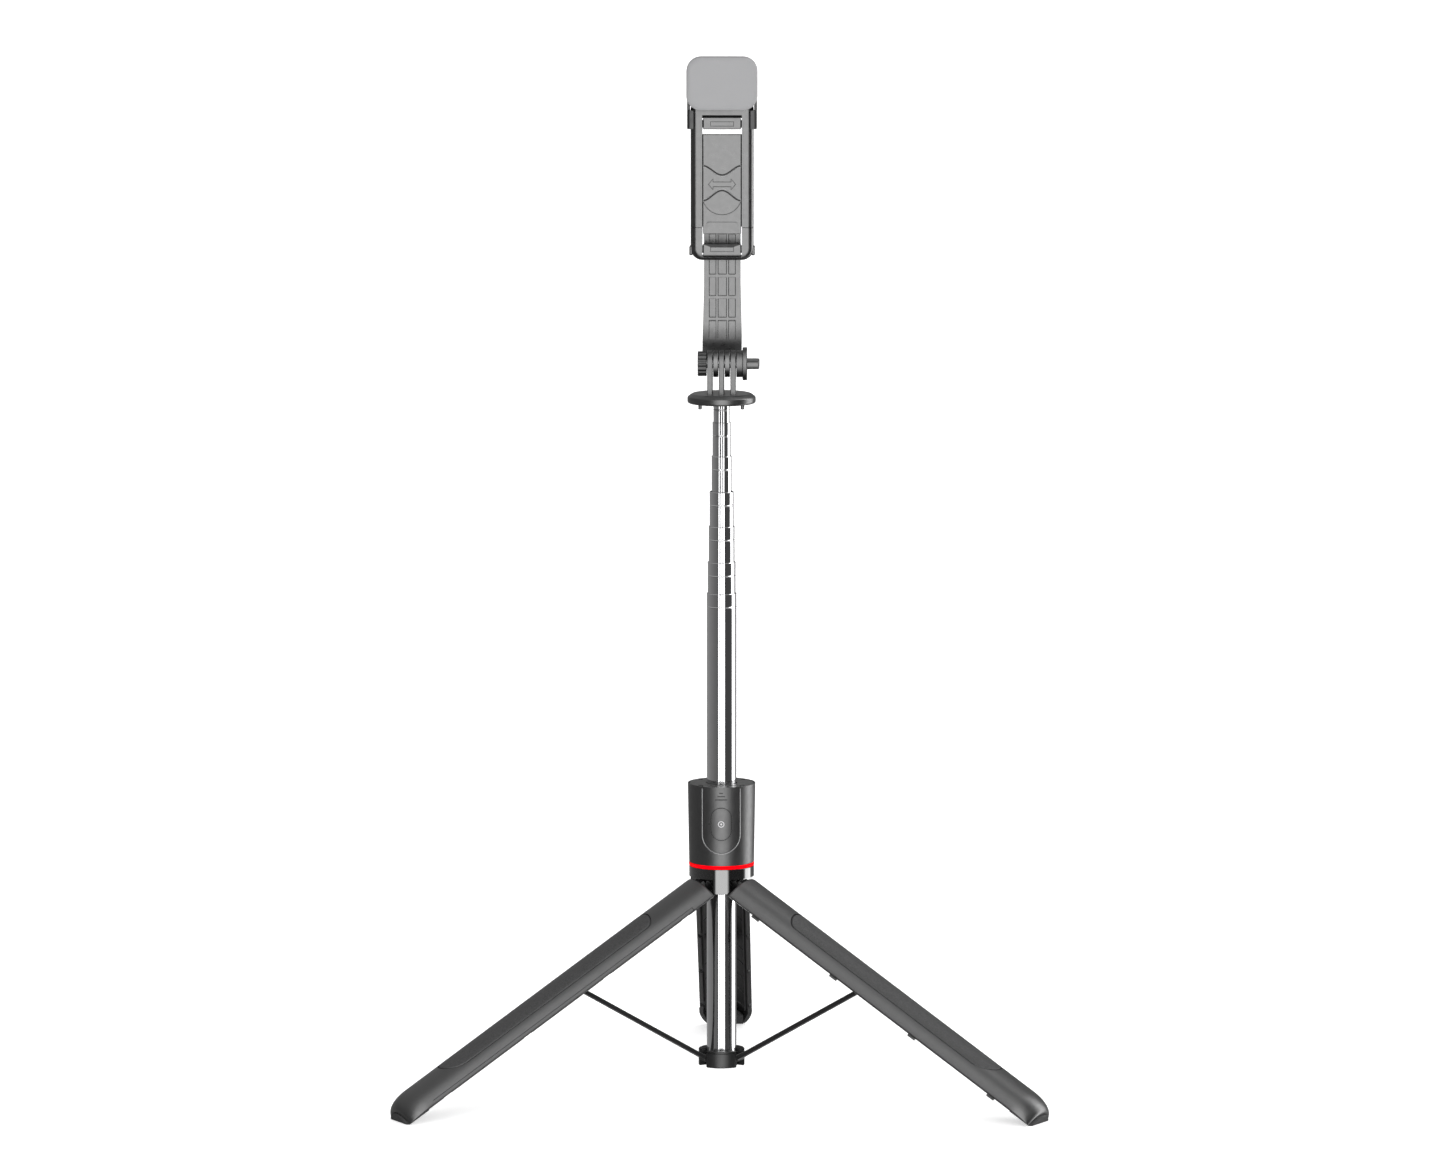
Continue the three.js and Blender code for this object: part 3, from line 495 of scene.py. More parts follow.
# Near-black material: painted shade in grooves, gaps and recesses, and also the remote's dark marks.
PAINTED_SHADE_AND_DARK_MARKS = moulded("painted_shade_and_dark_marks", 0.006, 0.6)
BOARD = moulded("circuit_board", 0.05, 0.5)


def recolour(material, low, high):
    for node in material.node_tree.nodes:
        if node.type == "VALTORGB":
            node.color_ramp.elements[0].color = (*low, 1)
            node.color_ramp.elements[1].color = (*high, 1)
    return material


recolour(RED, (0.86, 0.0, 0.004), (0.95, 0.0, 0.006))
recolour(BOARD, (0.008, 0.09, 0.03), (0.014, 0.13, 0.045))
# The red plastic is also given a faint red glow: painted light, since the ring is no lamp.
preset(
    RED.node_tree.nodes["Principled BSDF"],
    Emission_Color=(1.0, 0.0, 0.0, 1), Emission_Strength=0.3, Specular_IOR_Level=0.02,
)


# ---------- telescopic pole
POLE_WALL = 0.35
GROOVE_WIDTH = 2.7
GROOVE_DEPTH = 0.9
CRIMP_BELOW_TOP = 7.5


def tube_outline(radius, round_steps=88, groove_steps=14):
    """A circle with a shallow groove down its front."""
    points = []
    for i in range(groove_steps + 1):
        x = GROOVE_WIDTH * (i / groove_steps - 0.5)
        dip = GROOVE_DEPTH * 0.5 * (1 + math.cos(2 * math.pi * x / GROOVE_WIDTH))
        points.append((x, -math.sqrt(radius * radius - x * x) + dip))
    start = math.degrees(math.atan2(points[-1][1], points[-1][0]))
    points += arc((0, 0), radius, start, 180 - start, round_steps)[1:-1]
    return points


def pole_tube(index):
    node = f"pole_tube_{index}"
    low, high = box_of(node)
    radius = high.y
    crimp = high.z - CRIMP_BELOW_TOP
    levels = [
        (low.z, -0.1), (low.z + 0.2, 0.0),
        (crimp - 0.75, 0.0), (crimp - 0.4, -0.14), (crimp - 0.15, 0.08),
        (crimp + 0.15, 0.08), (crimp + 0.4, -0.14), (crimp + 0.75, 0.0),
        (high.z - 0.9, 0.0), (high.z - 0.6, 0.06), (high.z - 0.2, 0.06), (high.z, -0.1),
        (high.z, -POLE_WALL), (low.z, -POLE_WALL),
    ]
    rings = [[(x, y, z) for (x, y) in tube_outline(radius + grow)] for (z, grow) in levels]
    place(skin(rings, loop=True), node, CHROME)


for number in range(1, 8):
    pole_tube(number)

# ---------- leg hub and ring
HINGE_REACH, HINGE_HEIGHT = 10.6, 113.5
LEG_AZIMUTHS = (-30, 90, 210)
LEG_OPEN = 60

hub_low, hub_high = box_of("leg_hub")
HUB_BORE, HUB_RADIUS = 8.6, 17.75
hub = ring_tube(HUB_BORE, HUB_RADIUS, hub_low.z, hub_high.z, 180, 0.35)
for azimuth in LEG_AZIMUTHS:
    below = hub_low.z - 1
    cut(
        hub,
        turn(box((12.4, 20), (-20, 20), (below, 118.6), 0.5), azimuth),
        turn(box((8.0, 13.4), (-4.3, 4.3), (below, HINGE_HEIGHT + 3)), azimuth),
        turn(rod("y", PIN_BORE, (-6.8, 6.8), HINGE_REACH, HINGE_HEIGHT, 32), azimuth),
    )
place(hub, "leg_hub", GLOSS)

ring_low, ring_high = box_of("red_ring")
ring_profile = [
    (10.8, ring_low.z), (17.6, ring_low.z), (17.83, ring_low.z + 0.3), (17.85, ring_low.z + 0.9),
    (17.83, ring_high.z - 0.3), (17.6, ring_high.z), (10.8, ring_high.z),
]
place(lathe(ring_profile, 180), "red_ring", RED)


# ---------- legs, laid out closed and then opened
def along(distance):
    """A distance down the closed leg as a height."""
    return HINGE_HEIGHT - distance


# A closed leg: its radii, half its width in degrees, and distances down from its hinge.
LEG_OUTER, LEG_INNER, LEG_HALF = 17.75, 14.75, 59.3
LEG_START, LEG_TIP, LEG_END, LEG_END_RADIUS = 3.7, 206.0, 219.0, 12.6
STRIP_FROM, STRIP_START, STRIP_END, STRIP_DEPTH = 52.0, 18.0, 202.0, 0.5
GRIP_START, GRIP_END, GRIP_HALF, GRIP_RECESS, GRIP_TOP_ROUND, GRIP_END_ROUND = 38, 185, 9.3, 1.0, 7, 13
STRUT_LENGTH = 95.5


def outer_radius(distance):
    if distance <= LEG_TIP:
        return LEG_OUTER
    share = min(1.0, (distance - LEG_TIP) / (LEG_END - LEG_TIP))
    return LEG_END_RADIUS + (LEG_OUTER - LEG_END_RADIUS) * math.sqrt(max(0.0, 1 - share * share))


def inner_radius(distance):
    if distance <= LEG_TIP:
        return LEG_INNER
    share = min(1.0, (distance - LEG_TIP) / (LEG_END - 3 - LEG_TIP))
    return LEG_INNER + share * (LEG_END_RADIUS - 0.7 - LEG_INNER)


def shell_section(distance, shrink=0.0):
    """The leg shell's cross-section: a thick arc with rounded corners and the recessed edge strip."""
    outer = outer_radius(distance) - shrink
    inner = inner_radius(distance)
    half = LEG_HALF
    angles = [-half, -half + 0.25, -half + 0.8, -half + 1.6]
    steps = 76
    angles += [-half + 1.6 + (2 * half - 3.2) * i / steps for i in range(1, steps)]
    angles = [a for a in angles if abs(a - STRIP_FROM) > 0.6]
    angles += [STRIP_FROM - 0.35, STRIP_FROM + 0.1, half - 1.6, half - 0.8, half - 0.25, half]
    points = []
    for angle in sorted(angles):
        radius = outer
        if angle > STRIP_FROM and STRIP_START <= distance <= STRIP_END:
            radius -= STRIP_DEPTH
        from_edge = half - abs(angle)
        if from_edge < 1.6:
            radius -= 0.45 * (1 - from_edge / 1.6) ** 2
        points.append((radius, math.radians(angle)))
    for i in range(25):
        points.append((inner, math.radians(half - 2 * half * i / 24)))
    return [(r * math.cos(a), r * math.sin(a), along(distance)) for (r, a) in points]


def leg_shell():
    stations = [LEG_START, LEG_START + 0.12, LEG_START + 0.4, LEG_START + 1.0]
    stations += [STRIP_START - 0.15, STRIP_START + 0.05]
    stations += [30, 60, 90, 120, 150, 180, STRIP_END - 0.05, STRIP_END + 0.15]
    span = LEG_END - LEG_TIP
    stations += [LEG_TIP + span * math.sin(math.pi / 2 * k / 14) for k in range(15)]
    shrinks = {0: 0.5, 1: 0.25, 2: 0.07}
    return skin([shell_section(d, shrinks.get(i, 0.0)) for i, d in enumerate(sorted(stations))])


def grip_outline(grow, steps=24):
    """(y, z) points: long straight sides with a half-ellipse at each end, counter-clockwise."""
    half = GRIP_HALF + grow
    top = along(GRIP_START + GRIP_TOP_ROUND)
    bottom = along(GRIP_END - GRIP_END_ROUND)
    points = []
    for i in range(steps + 1):
        angle = math.pi * i / steps
        points.append((half * math.cos(angle), top + (GRIP_TOP_ROUND + grow) * math.sin(angle)))
    side = [top + (bottom - top) * k / 20 for k in range(1, 20)]
    points += [(-half, z) for z in side]
    for i in range(steps + 1):
        angle = math.pi + math.pi * i / steps
        points.append((half * math.cos(angle), bottom + (GRIP_END_ROUND + grow) * math.sin(angle)))
    points += [(half, z) for z in reversed(side)]
    return points


def on_cylinder(outline, radius):
    """A (y, z) outline laid on a cylinder about the pole's axis, seen from +X."""
    return [(math.sqrt(max(0.0, radius * radius - y * y)), y, z) for (y, z) in outline]


def patch(levels):
    """A solid of stacked outlines on the leg's cylinder: (growth, radius) pairs from bottom to top."""
    rings = [on_cylinder(grip_outline(grow), radius) for (grow, radius) in levels]
    # Rings that shrink towards the long middle line keep the crown round.
    grow, radius = levels[-1]
    top = grip_outline(grow)
    for share in (0.9, 0.75, 0.6, 0.45, 0.3, 0.15, 0.0):
        inner = []
        for (y, z) in top:
            low = along(GRIP_END - GRIP_END_ROUND)
            high = along(GRIP_START + GRIP_TOP_ROUND)
            middle = min(max(z, low), high)
            inner.append((y * share, middle + (z - middle) * share))
        rings.append(on_cylinder(inner, radius))
    return rings


def patch_solid(levels):
    """The patch with a matching flat bottom, as a closed solid."""
    rings = patch(levels)
    grow, radius = levels[0]
    bottom = patch([(grow, radius)])[1:]
    count = len(rings[0])
    vertices = [p for ring in list(reversed(bottom)) + rings for p in ring]
    faces = []
    total = len(bottom) + len(rings)
    for r in range(total - 1):
        for i in range(count):
            j = (i + 1) % count
            faces.append((r * count + i, r * count + j, (r + 1) * count + j, (r + 1) * count + i))
    return close_seam(make_object("patch", vertices, faces))


def close_seam(obj):
    """Closes the flat seams left where a patch shrinks onto its middle line."""
    with edited(obj.data) as bm:
        bmesh.ops.remove_doubles(bm, verts=bm.verts, dist=1e-3)
        loose = [f for f in bm.faces if f.calc_area() < 1e-7]
        bmesh.ops.delete(bm, geom=loose, context="FACES")
        rim = [e for e in bm.edges if len(e.link_faces) == 1]
        if rim:
            bmesh.ops.holes_fill(bm, edges=rim, sides=0)
        bmesh.ops.recalc_face_normals(bm, faces=bm.faces)
    return obj


skin_radius = LEG_OUTER
shell = leg_shell()
cut(shell, patch_solid([(0.45, skin_radius - GRIP_RECESS), (0.45, skin_radius + 1.2)]))


def grip_pocket_shade_mask(p):
    return (
        p.x > 0 and GRIP_START - 1 < HINGE_HEIGHT - p.z < GRIP_END + 1
        and abs(p.y) < GRIP_HALF + 0.6 and 16.0 < math.hypot(p.x, p.y) < skin_radius - 0.1
    )


# Painted shade: the walls of the grip's pocket get the near-black material, in place of the shade in the gap
# round the grip.
paint_shade(shell, grip_pocket_shade_mask, Matrix())
TAB_START, TAB_PITCH = 23.6, 56.5
for i in range(4):
    centre = TAB_START + TAB_PITCH * i
    tab = (along(centre + 2.5), along(centre - 2.5))
    notch = (tab[0] - 0.3, tab[1] + 0.3)
    join(shell, turn(box((15.0, 16.2), (-1.2, 0.8), tab, 0.25), -LEG_HALF))
    cut(shell, turn(box((14.25, 16.5), (-1.6, 1.0), notch), LEG_HALF))
join(
    shell,
    box((HINGE_REACH, 15.2), (-4, 4), (along(7), along(0.5)), 0.4),
    rod("y", 2.0, (-4, 4), HINGE_REACH, HINGE_HEIGHT, 40),
)
cut(shell, rod("y", PIN_BORE, (-6, 6), HINGE_REACH, HINGE_HEIGHT, 32))

top_radius = skin_radius + 0.05
grip = patch_solid([
    (-0.12, skin_radius - GRIP_RECESS + 0.3), (-0.12, top_radius - 0.32),
    (-0.22, top_radius - 0.1), (-0.45, top_radius), (-1.0, top_radius),
])

# The liner is a thin trough with a low rib across it at every pitch.
LINER_START, LINER_END, RIB_PITCH = 8, 203, 23.5
LINER_OUTER, LINER_INNER, RIB_INNER, LINER_HALF = 14.45, 13.3, 12.95, 54
liner_stations = [(LINER_START, LINER_INNER)]
rib = LINER_START + RIB_PITCH
while rib < LINER_END:
    liner_stations += [(rib - 0.15, LINER_INNER), (rib, RIB_INNER)]
    liner_stations += [(rib + 1, RIB_INNER), (rib + 1.15, LINER_INNER)]
    rib += RIB_PITCH
liner_stations.append((LINER_END, LINER_INNER))
rings = []
for (distance, inside) in liner_stations:
    section = arc((0, 0), LINER_OUTER, -LINER_HALF, LINER_HALF, 44)
    section += arc((0, 0), inside, LINER_HALF, -LINER_HALF, 44)
    rings.append([(x, y, along(distance)) for (x, y) in section])
liner = skin(rings)
pivot = along(STRUT_LENGTH)
for cheek in ((-5.8, -3.8), (3.8, 5.8)):
    join(liner, box((HINGE_REACH - 1.9, 13.0), cheek, (pivot - 2.6, pivot + 2.6), 0.3))
cut(liner, rod("y", PIN_BORE, (-7, 7), HINGE_REACH, pivot, 32))

foot = common(
    rod("z", 11.6, (along(220.5), along(205)), sides=120, edge=0.5),
    box((5.9, 20), (-20, 20), (along(222), along(204))),
    wedge(LEG_HALF, (along(222), along(204))),
)
join(foot, box((4.6, 6.9), (-3, 3), (along(216), along(208)), 0.6))
under = box((-50, 300), (-30, 30), (-HINGE_HEIGHT - 20, -HINGE_HEIGHT))
under.data.transform(Matrix.Rotation(math.radians(LEG_OPEN), 4, "Y"))
under.data.transform(Matrix.Translation((HINGE_REACH, 0, HINGE_HEIGHT)))
cut(foot, under)

strut = prism(rounded_rectangle((-3.5, 3.5), (-STRUT_LENGTH, 0), 0.3, 2), "x", (-1.1, 1.1), 0.3)
join(
    strut,
    rod("y", 2.0, (-3.5, 3.5), 0, 0, 40, 0.25),
    rod("y", 2.0, (-3.5, 3.5), 0, -STRUT_LENGTH, 40, 0.25),
)
cut(strut, rod("y", PIN_BORE, (-5, 5), 0, 0, 32), rod("y", PIN_BORE, (-5, 5), 0, -STRUT_LENGTH, 32))

LEG_PIECES = {
    "leg_shell": (shell, SATIN),
    "leg_grip": (grip, GRIP),
    "leg_liner": (liner, BLACK),
    "leg_foot": (foot, RUBBER),
}
TO_HINGE = Matrix.Translation((HINGE_REACH, 0, HINGE_HEIGHT))
for number, azimuth in enumerate(LEG_AZIMUTHS, 1):
    facing = Matrix.Rotation(math.radians(azimuth), 4, "Z")
    opened = facing @ TO_HINGE @ Matrix.Rotation(math.radians(-LEG_OPEN), 4, "Y") @ TO_HINGE.inverted()
    for kind, (master, material) in LEG_PIECES.items():
        piece = copy_of(master)
        piece.data.transform(opened)
        place(piece, f"{kind}_{number}", material)
    lean = math.radians(LEG_OPEN)
    foot_of_pivot = Matrix.Translation((STRUT_LENGTH * math.sin(lean), 0, -STRUT_LENGTH * math.cos(lean)))
    bar = copy_of(strut)
    bar.data.transform(facing @ TO_HINGE @ foot_of_pivot @ Matrix.Rotation(lean, 4, "Y"))
    place(bar, f"strut_{number}", BLACK)
for master in (shell, grip, liner, foot, strut):
    bpy.data.objects.remove(master)

# ---------- collar at the pole's foot
collar_low, collar_high = box_of("pole_collar")
rim = collar_high.z
collar_profile = [
    (8.4, collar_low.z), (12.1, collar_low.z), (12.6, collar_low.z + 0.5),
    (12.6, rim - 1.5), (12.2, rim - 1.3), (12.2, rim - 0.9),
    (12.6, rim - 0.7), (12.6, rim - 0.2), (12.4, rim), (8.4, rim),
]
collar = lathe(collar_profile, 144)
for azimuth in LEG_AZIMUTHS:
    cut(collar, turn(box((7.5, 14.6), (-4.1, 4.1), (collar_low.z - 1, collar_high.z + 1)), azimuth))
join(collar, rod("z", 8.5, (collar_low.z, collar_low.z + 1.4), sides=96))
place(collar, "pole_collar", BLACK)

# ---------- handle housing, cap and remote
house_low, house_high = box_of("handle_housing")
HOUSE_RADII = (17.75, 18.5)
BORE = 10.6
CAP_RADIUS = 17.6
DOCK_HALF, DOCK_BOTTOM, DOCK_BACK = 10.35, 133.0, 11.2


def house_radius(z):
    share = (z - house_low.z) / (house_high.z - house_low.z)
    return HOUSE_RADII[0] + share * (HOUSE_RADII[1] - HOUSE_RADII[0])


def house_cone(inset):
    z0, z1 = house_low.z, house_high.z
    return lathe([(0, z0), (house_radius(z0) - inset, z0), (house_radius(z1) - inset, z1), (0, z1)], 180)


cap_low, cap_high = box_of("handle_cap")
ledge = cap_low.z - 0.2
house_profile = rounded(
    [
        (BORE, house_low.z), (HOUSE_RADII[0], house_low.z),
        (HOUSE_RADII[1], house_high.z), (CAP_RADIUS + 0.3, house_high.z),
        (CAP_RADIUS + 0.3, ledge), (HOUSE_RADII[1] - 2.3, ledge),
        (HOUSE_RADII[0] - 1.75, house_low.z + 2.2), (BORE, house_low.z + 2.2),
    ],
    [0, 0.35, 0.3, 0.2, 0, 0, 0, 0],
)
housing = lathe(house_profile, 180)
join(housing, common(box((-11.9, 11.9), (-20, -9.5), (house_low.z, ledge)), house_cone(0.02)))
cut(
    housing,
    prism(tongue(DOCK_HALF, DOCK_BOTTOM, house_high.z + 1, 48), "y", (-20, -DOCK_BACK)),
    rod("z", BORE, (house_low.z - 1, house_high.z + 1), sides=96),
)
place(housing, "handle_housing", HOUSING)

# A bead of a much paler material runs round the edge of the dock: a painted highlight along the dock's edge.
BEAD = 0.27
rim_outline = [(DOCK_HALF, house_high.z - 1.2 - 1.5 * k) for k in range(17)]
rim_outline += arc((0, DOCK_BOTTOM + DOCK_HALF), DOCK_HALF, 0, -180, 60)[1:-1]
rim_outline += [(-x, z) for (x, z) in reversed(rim_outline[:17])]
rim_points = []
for (x, z) in rim_outline:
    rim_points.append((x, -math.sqrt((house_radius(z) - 0.05) ** 2 - x * x), z))
PAINTED_HIGHLIGHT = moulded("pale_painted_highlight", 0.16, 0.22, ior=1.8)
place(follow(rim_points, BEAD), "handle_housing", PAINTED_HIGHLIGHT, "v_dock_rim", False)

cap = ring_tube(8.5, CAP_RADIUS, cap_low.z, cap_high.z, 180, 0.3)
NUB_PLACES = [(sx * 11.5, sy * 10.4) for sx in (-1, 1) for sy in (-1, 1)]
cut(cap, box((-DOCK_HALF - 0.3, DOCK_HALF + 0.3), (-20, -DOCK_BACK + 0.3), (cap_low.z - 1, cap_high.z + 1)))
for (x, y) in NUB_PLACES:
    cut(cap, rod("z", 1.3, (cap_high.z - 1.8, cap_high.z + 1), x, y, 32))
place(cap, "handle_cap", HOUSING)

remote_low, remote_high = box_of("remote_shell")
REMOTE_HALF, REMOTE_WALL, CAVITY_RADIUS = 9.9, 1.2, 16.9
SHUTTER_HALF, SHUTTER_HEIGHT, SHUTTER_REACH = 5.35, 149.5, 8.75


def button_outline(grow):
    half = SHUTTER_HALF + grow
    reach = SHUTTER_REACH + grow
    upright = (SHUTTER_HEIGHT - reach, SHUTTER_HEIGHT + reach)
    return rounded_rectangle((-half, half), upright, half - 0.01, 20)


remote = prism(tongue(REMOTE_HALF, remote_low.z, remote_high.z, 48), "y", (-20, remote_high.y))
common(remote, house_cone(0.1))
cavity = tongue(REMOTE_HALF - REMOTE_WALL, remote_low.z + REMOTE_WALL, remote_high.z - REMOTE_WALL, 48)
inside = prism(cavity, "y", (-20, remote_high.y + 1))
common(inside, rod("z", CAVITY_RADIUS, (remote_low.z - 1, remote_high.z + 1), sides=144))
cut(remote, inside, prism(button_outline(0.45), "y", (-20, -12.9)))
place(remote, "remote_shell", HOUSING)

button_back = box_of("shutter_button")[1].y
button = common(prism(button_outline(0), "y", (-20, button_back)), house_cone(0.05))
place(button, "shutter_button", HOUSING)



def mark_on_front(piece, node, name, material, top, bottom):
    """Places a thin mark that lies between two depths under the housing's tapered surface."""
    common(piece, house_cone(top))
    cut(piece, house_cone(bottom))
    place(piece, node, material, name, False)


FRONT, PAST_FRONT = (-20, -15), (-21, -14)
# The gap round the button holds a thin ring of the near-black material: painted shade in the gap, seen as a
# thin dark line.
gap_shade = cut(prism(button_outline(0.43), "y", FRONT), prism(button_outline(0.03), "y", PAST_FRONT))
mark_on_front(gap_shade, "remote_shell", "v_button_gap_shade", PAINTED_SHADE_AND_DARK_MARKS, 0.1, 0.7)

# The button's mark is a plain ring with a dot, and three dashes stand above it.
middle = (0, SHUTTER_HEIGHT)
mark = cut(prism(circle(middle, 1.75, 40), "y", FRONT), prism(circle(middle, 1.3, 40), "y", PAST_FRONT))
join(mark, prism(circle(middle, 0.55, 24), "y", FRONT))
mark_on_front(mark, "shutter_button", "v_button_mark", MARK, -0.01, 0.3)
for (name, level, length) in (("top", 166.6, 2.2), ("middle", 164.8, 4.2), ("low", 163.0, 6.6)):
    dash = rounded_rectangle((-length / 2, length / 2), (level - 0.28, level + 0.28), 0.2, 3)
    mark_on_front(prism(dash, "y", FRONT), "remote_shell", f"v_dash_{name}", PAINTED_SHADE_AND_DARK_MARKS, 0.02, 0.3)
lamp = prism(circle((-6.6, SHUTTER_HEIGHT), 0.45, 20), "y", FRONT)
mark_on_front(lamp, "remote_shell", "v_lamp_hole", PAINTED_SHADE_AND_DARK_MARKS, 0.05, 0.4)

# ---------- head plate and tilt joint
PLATE_RADIUS, PLATE_BOTTOM, PLATE_TOP, PLATE_CHAMFER = 18.6, 378.7, 384.0, 1.9
TILT_HEIGHT, TILT_RADIUS = 400.1, 7.3
plate_profile = rounded(
    [
        (0, PLATE_BOTTOM),
        (PLATE_RADIUS - 0.6, PLATE_BOTTOM),
        (PLATE_RADIUS, PLATE_BOTTOM + 0.8),
        (PLATE_RADIUS, PLATE_TOP - PLATE_CHAMFER),
        (PLATE_RADIUS - 2.6, PLATE_TOP),
        (0, PLATE_TOP),
    ],
    [0, 0.4, 0.4, 0.7, 0.7, 0],
)
plate = lathe(plate_profile, 180)
prong_outline = [(-TILT_RADIUS, PLATE_TOP - 1), (TILT_RADIUS, PLATE_TOP - 1)]
prong_outline += arc((0, TILT_HEIGHT), TILT_RADIUS, 0, 180, 40)
for x in (-6.3, 0, 6.3):
    join(plate, prism(prong_outline, "x", (x - 1.45, x + 1.45), 0.35))
for (x, y) in NUB_PLACES:
    join(plate, rod("z", 1.0, (PLATE_BOTTOM - 2.4, PLATE_BOTTOM + 1), x, y, 32, 0.3))
cut(
    plate,
    rod("x", BOLT_BORE, (-10, 10), 0, TILT_HEIGHT, 48),
    rod("z", 4.75, (PLATE_BOTTOM - 1, box_of("pole_tube_7")[1].z + 0.3), sides=64),
)
place(plate, "head_plate", JOINT)

nut_low, nut_high = box_of("tilt_nut")
nut_outline = []
RIDGES, NUT_RADIUS, RIDGE_RISE = 16, 6.5, 0.3
for i in range(RIDGES * 8):
    angle = 2 * math.pi * i / (RIDGES * 8)
    radius = NUT_RADIUS + RIDGE_RISE * math.cos(RIDGES * angle)
    nut_outline.append((radius * math.cos(angle), TILT_HEIGHT + radius * math.sin(angle)))
nut = prism(nut_outline, "x", (nut_low.x, nut_high.x), 0.35)
cut(nut, rod("x", BOLT_BORE, (-12.6, -8), 0, TILT_HEIGHT, 48),
    rod("x", 4.2, (nut_low.x - 1, nut_low.x + 0.5), 0, TILT_HEIGHT, 64))
join(nut, rod("x", 3.4, (nut_low.x, nut_low.x + 1), 0, TILT_HEIGHT, 6))
place(nut, "tilt_nut", BLACK)

knob_end = box_of("tilt_knob")[1].x
knob = rod("x", 7.35, (8.05, 12), 0, TILT_HEIGHT, 96, 0.3)
lever = rounded_rectangle((-8, 8), (TILT_HEIGHT - 2.35, TILT_HEIGHT + 2.35), 2.2, 8)
join(knob, rod("x", 9, (11.4, 13.9), 0, TILT_HEIGHT, 120, 0.45), prism(lever, "x", (13, knob_end), 0.8, 4))
cut(knob, rod("x", BOLT_BORE, (8, 11.3), 0, TILT_HEIGHT, 48))
place(knob, "tilt_knob", JOINT)

# ---------- holder arm and swivel
ARM_HALF, ARM_BASE, ARM_THICK, ARM_START = 10.0, 10.7, 5.5, 14.2
BEND_RADIUS, BEND_Y = 28.0, 6.0
SWIVEL_HEIGHT = 496.1
centre = TILT_HEIGHT + BEND_RADIUS
inner, outer = BEND_RADIUS - ARM_THICK / 2, BEND_RADIUS + ARM_THICK / 2


def bend_start(radius):
    return math.degrees(math.asin((ARM_START - BEND_Y) / radius)) - 90


side_outline = arc((BEND_Y, centre), outer, bend_start(outer), 0, 48)
side_outline += [(BEND_Y + outer, SWIVEL_HEIGHT + ARM_HALF)]
side_outline += [(BEND_Y + inner, SWIVEL_HEIGHT + ARM_HALF)]
side_outline += arc((BEND_Y, centre), inner, 0, bend_start(inner), 48)
front_outline = [(-ARM_BASE, 390), (ARM_BASE, 390), (ARM_BASE, 412), (ARM_HALF, 440)]
front_outline += arc((0, SWIVEL_HEIGHT), ARM_HALF, 0, 180, 48) + [(-ARM_HALF, 440), (-ARM_BASE, 412)]
arm = prism(side_outline, "x", (-12, 12))
common(arm, prism(front_outline, "y", (0, 50)))
finger = arc((0, TILT_HEIGHT), TILT_RADIUS, 90, 270, 40)
finger += [(ARM_START + 3, TILT_HEIGHT - 0.5), (ARM_START + 3, TILT_HEIGHT + 4.4)]
for x in (-3.15, 3.15):
    join(arm, prism(finger, "x", (x - 1.4, x + 1.4), 0.35))
front = BEND_Y + inner
POCKET_DEPTH, ROW_PITCH, ROW_HEIGHT, FIRST_ROW = 1.6, 11.8, 10.4, 422.0
bend_pocket = arc((BEND_Y, centre), inner + POCKET_DEPTH, -43.5, -16.8, 16)
bend_pocket += arc((BEND_Y, centre), inner - 3, -16.8, -43.5, 16)
for column in ((-7.3, -3.3), (-2.45, 2.45), (3.3, 7.3)):
    cut(arm, prism(bend_pocket, "x", column, 0.3))
    for row in range(4):
        bottom = FIRST_ROW + row * ROW_PITCH
        cut(arm, box(column, (front - 4, front + POCKET_DEPTH), (bottom, bottom + ROW_HEIGHT), 0.35))
cut(arm, rod("x", BOLT_BORE, (-6, 6), 0, TILT_HEIGHT, 48))
cut(arm, rod("y", SCREW_BORE, (20, 45), 0, SWIVEL_HEIGHT, 48))
place(arm, "holder_arm", CLAMP)

disc_low, disc_high = box_of("swivel_disc")
disc = rod("y", 9, (disc_low.y, disc_high.y), 0, SWIVEL_HEIGHT, 96, 0.3)
cut(disc, rod("y", SCREW_BORE, (20, 40), 0, SWIVEL_HEIGHT, 48))
place(disc, "swivel_disc", BLACK)

screw_low, screw_high = box_of("swivel_screw")
screw = rod("y", 2.0, (screw_low.y, screw_high.y - 1), 0, SWIVEL_HEIGHT, 48)
join(screw, rod("y", 4.5, (screw_high.y - 2, screw_high.y), 0, SWIVEL_HEIGHT, 72, 0.5))
cut(screw, rod("y", 2.1, (screw_high.y - 1.2, screw_high.y + 1), 0, SWIVEL_HEIGHT, 6))
place(screw, "swivel_screw", STEEL)

# ---------- phone clamp
CLAMP_FRONT, CLAMP_BACK, CLAMP_HALF, WINDOW_HALF = 19.2, 30.9, 17.15, 10.8
CLAMP_BOTTOM, CLAMP_SPLIT, WINDOW_TOP, CLAMP_TOP = 454.4, 472.4, 533.8, 542.3
BEHIND_WINDOW = (-WINDOW_HALF - 1, WINDOW_HALF + 1)
ROUND_OVER = 3.4


def clamp_block(corner):
    """The clamp's whole outer form, with its front edge rolled over."""
    outline = rounded_rectangle((-CLAMP_HALF, CLAMP_HALF), (CLAMP_BOTTOM, CLAMP_TOP), corner, 12)
    rings = []
    for k in range(9):
        angle = math.pi / 2 * k / 8
        level = CLAMP_FRONT + ROUND_OVER * (1 - math.sin(angle))
        rings.append((level, ROUND_OVER * (1 - math.cos(angle))))
    rings.reverse()
    rings += [(CLAMP_BACK - 0.9, 0.0), (CLAMP_BACK - 0.3, 0.25), (CLAMP_BACK, 0.9)]
    return skin([[(u, y, v) for (u, v) in offset(without_repeats(outline), inset)] for (y, inset) in rings])


def sided(side, near, far):
    return (near, far) if side > 0 else (-far, -near)


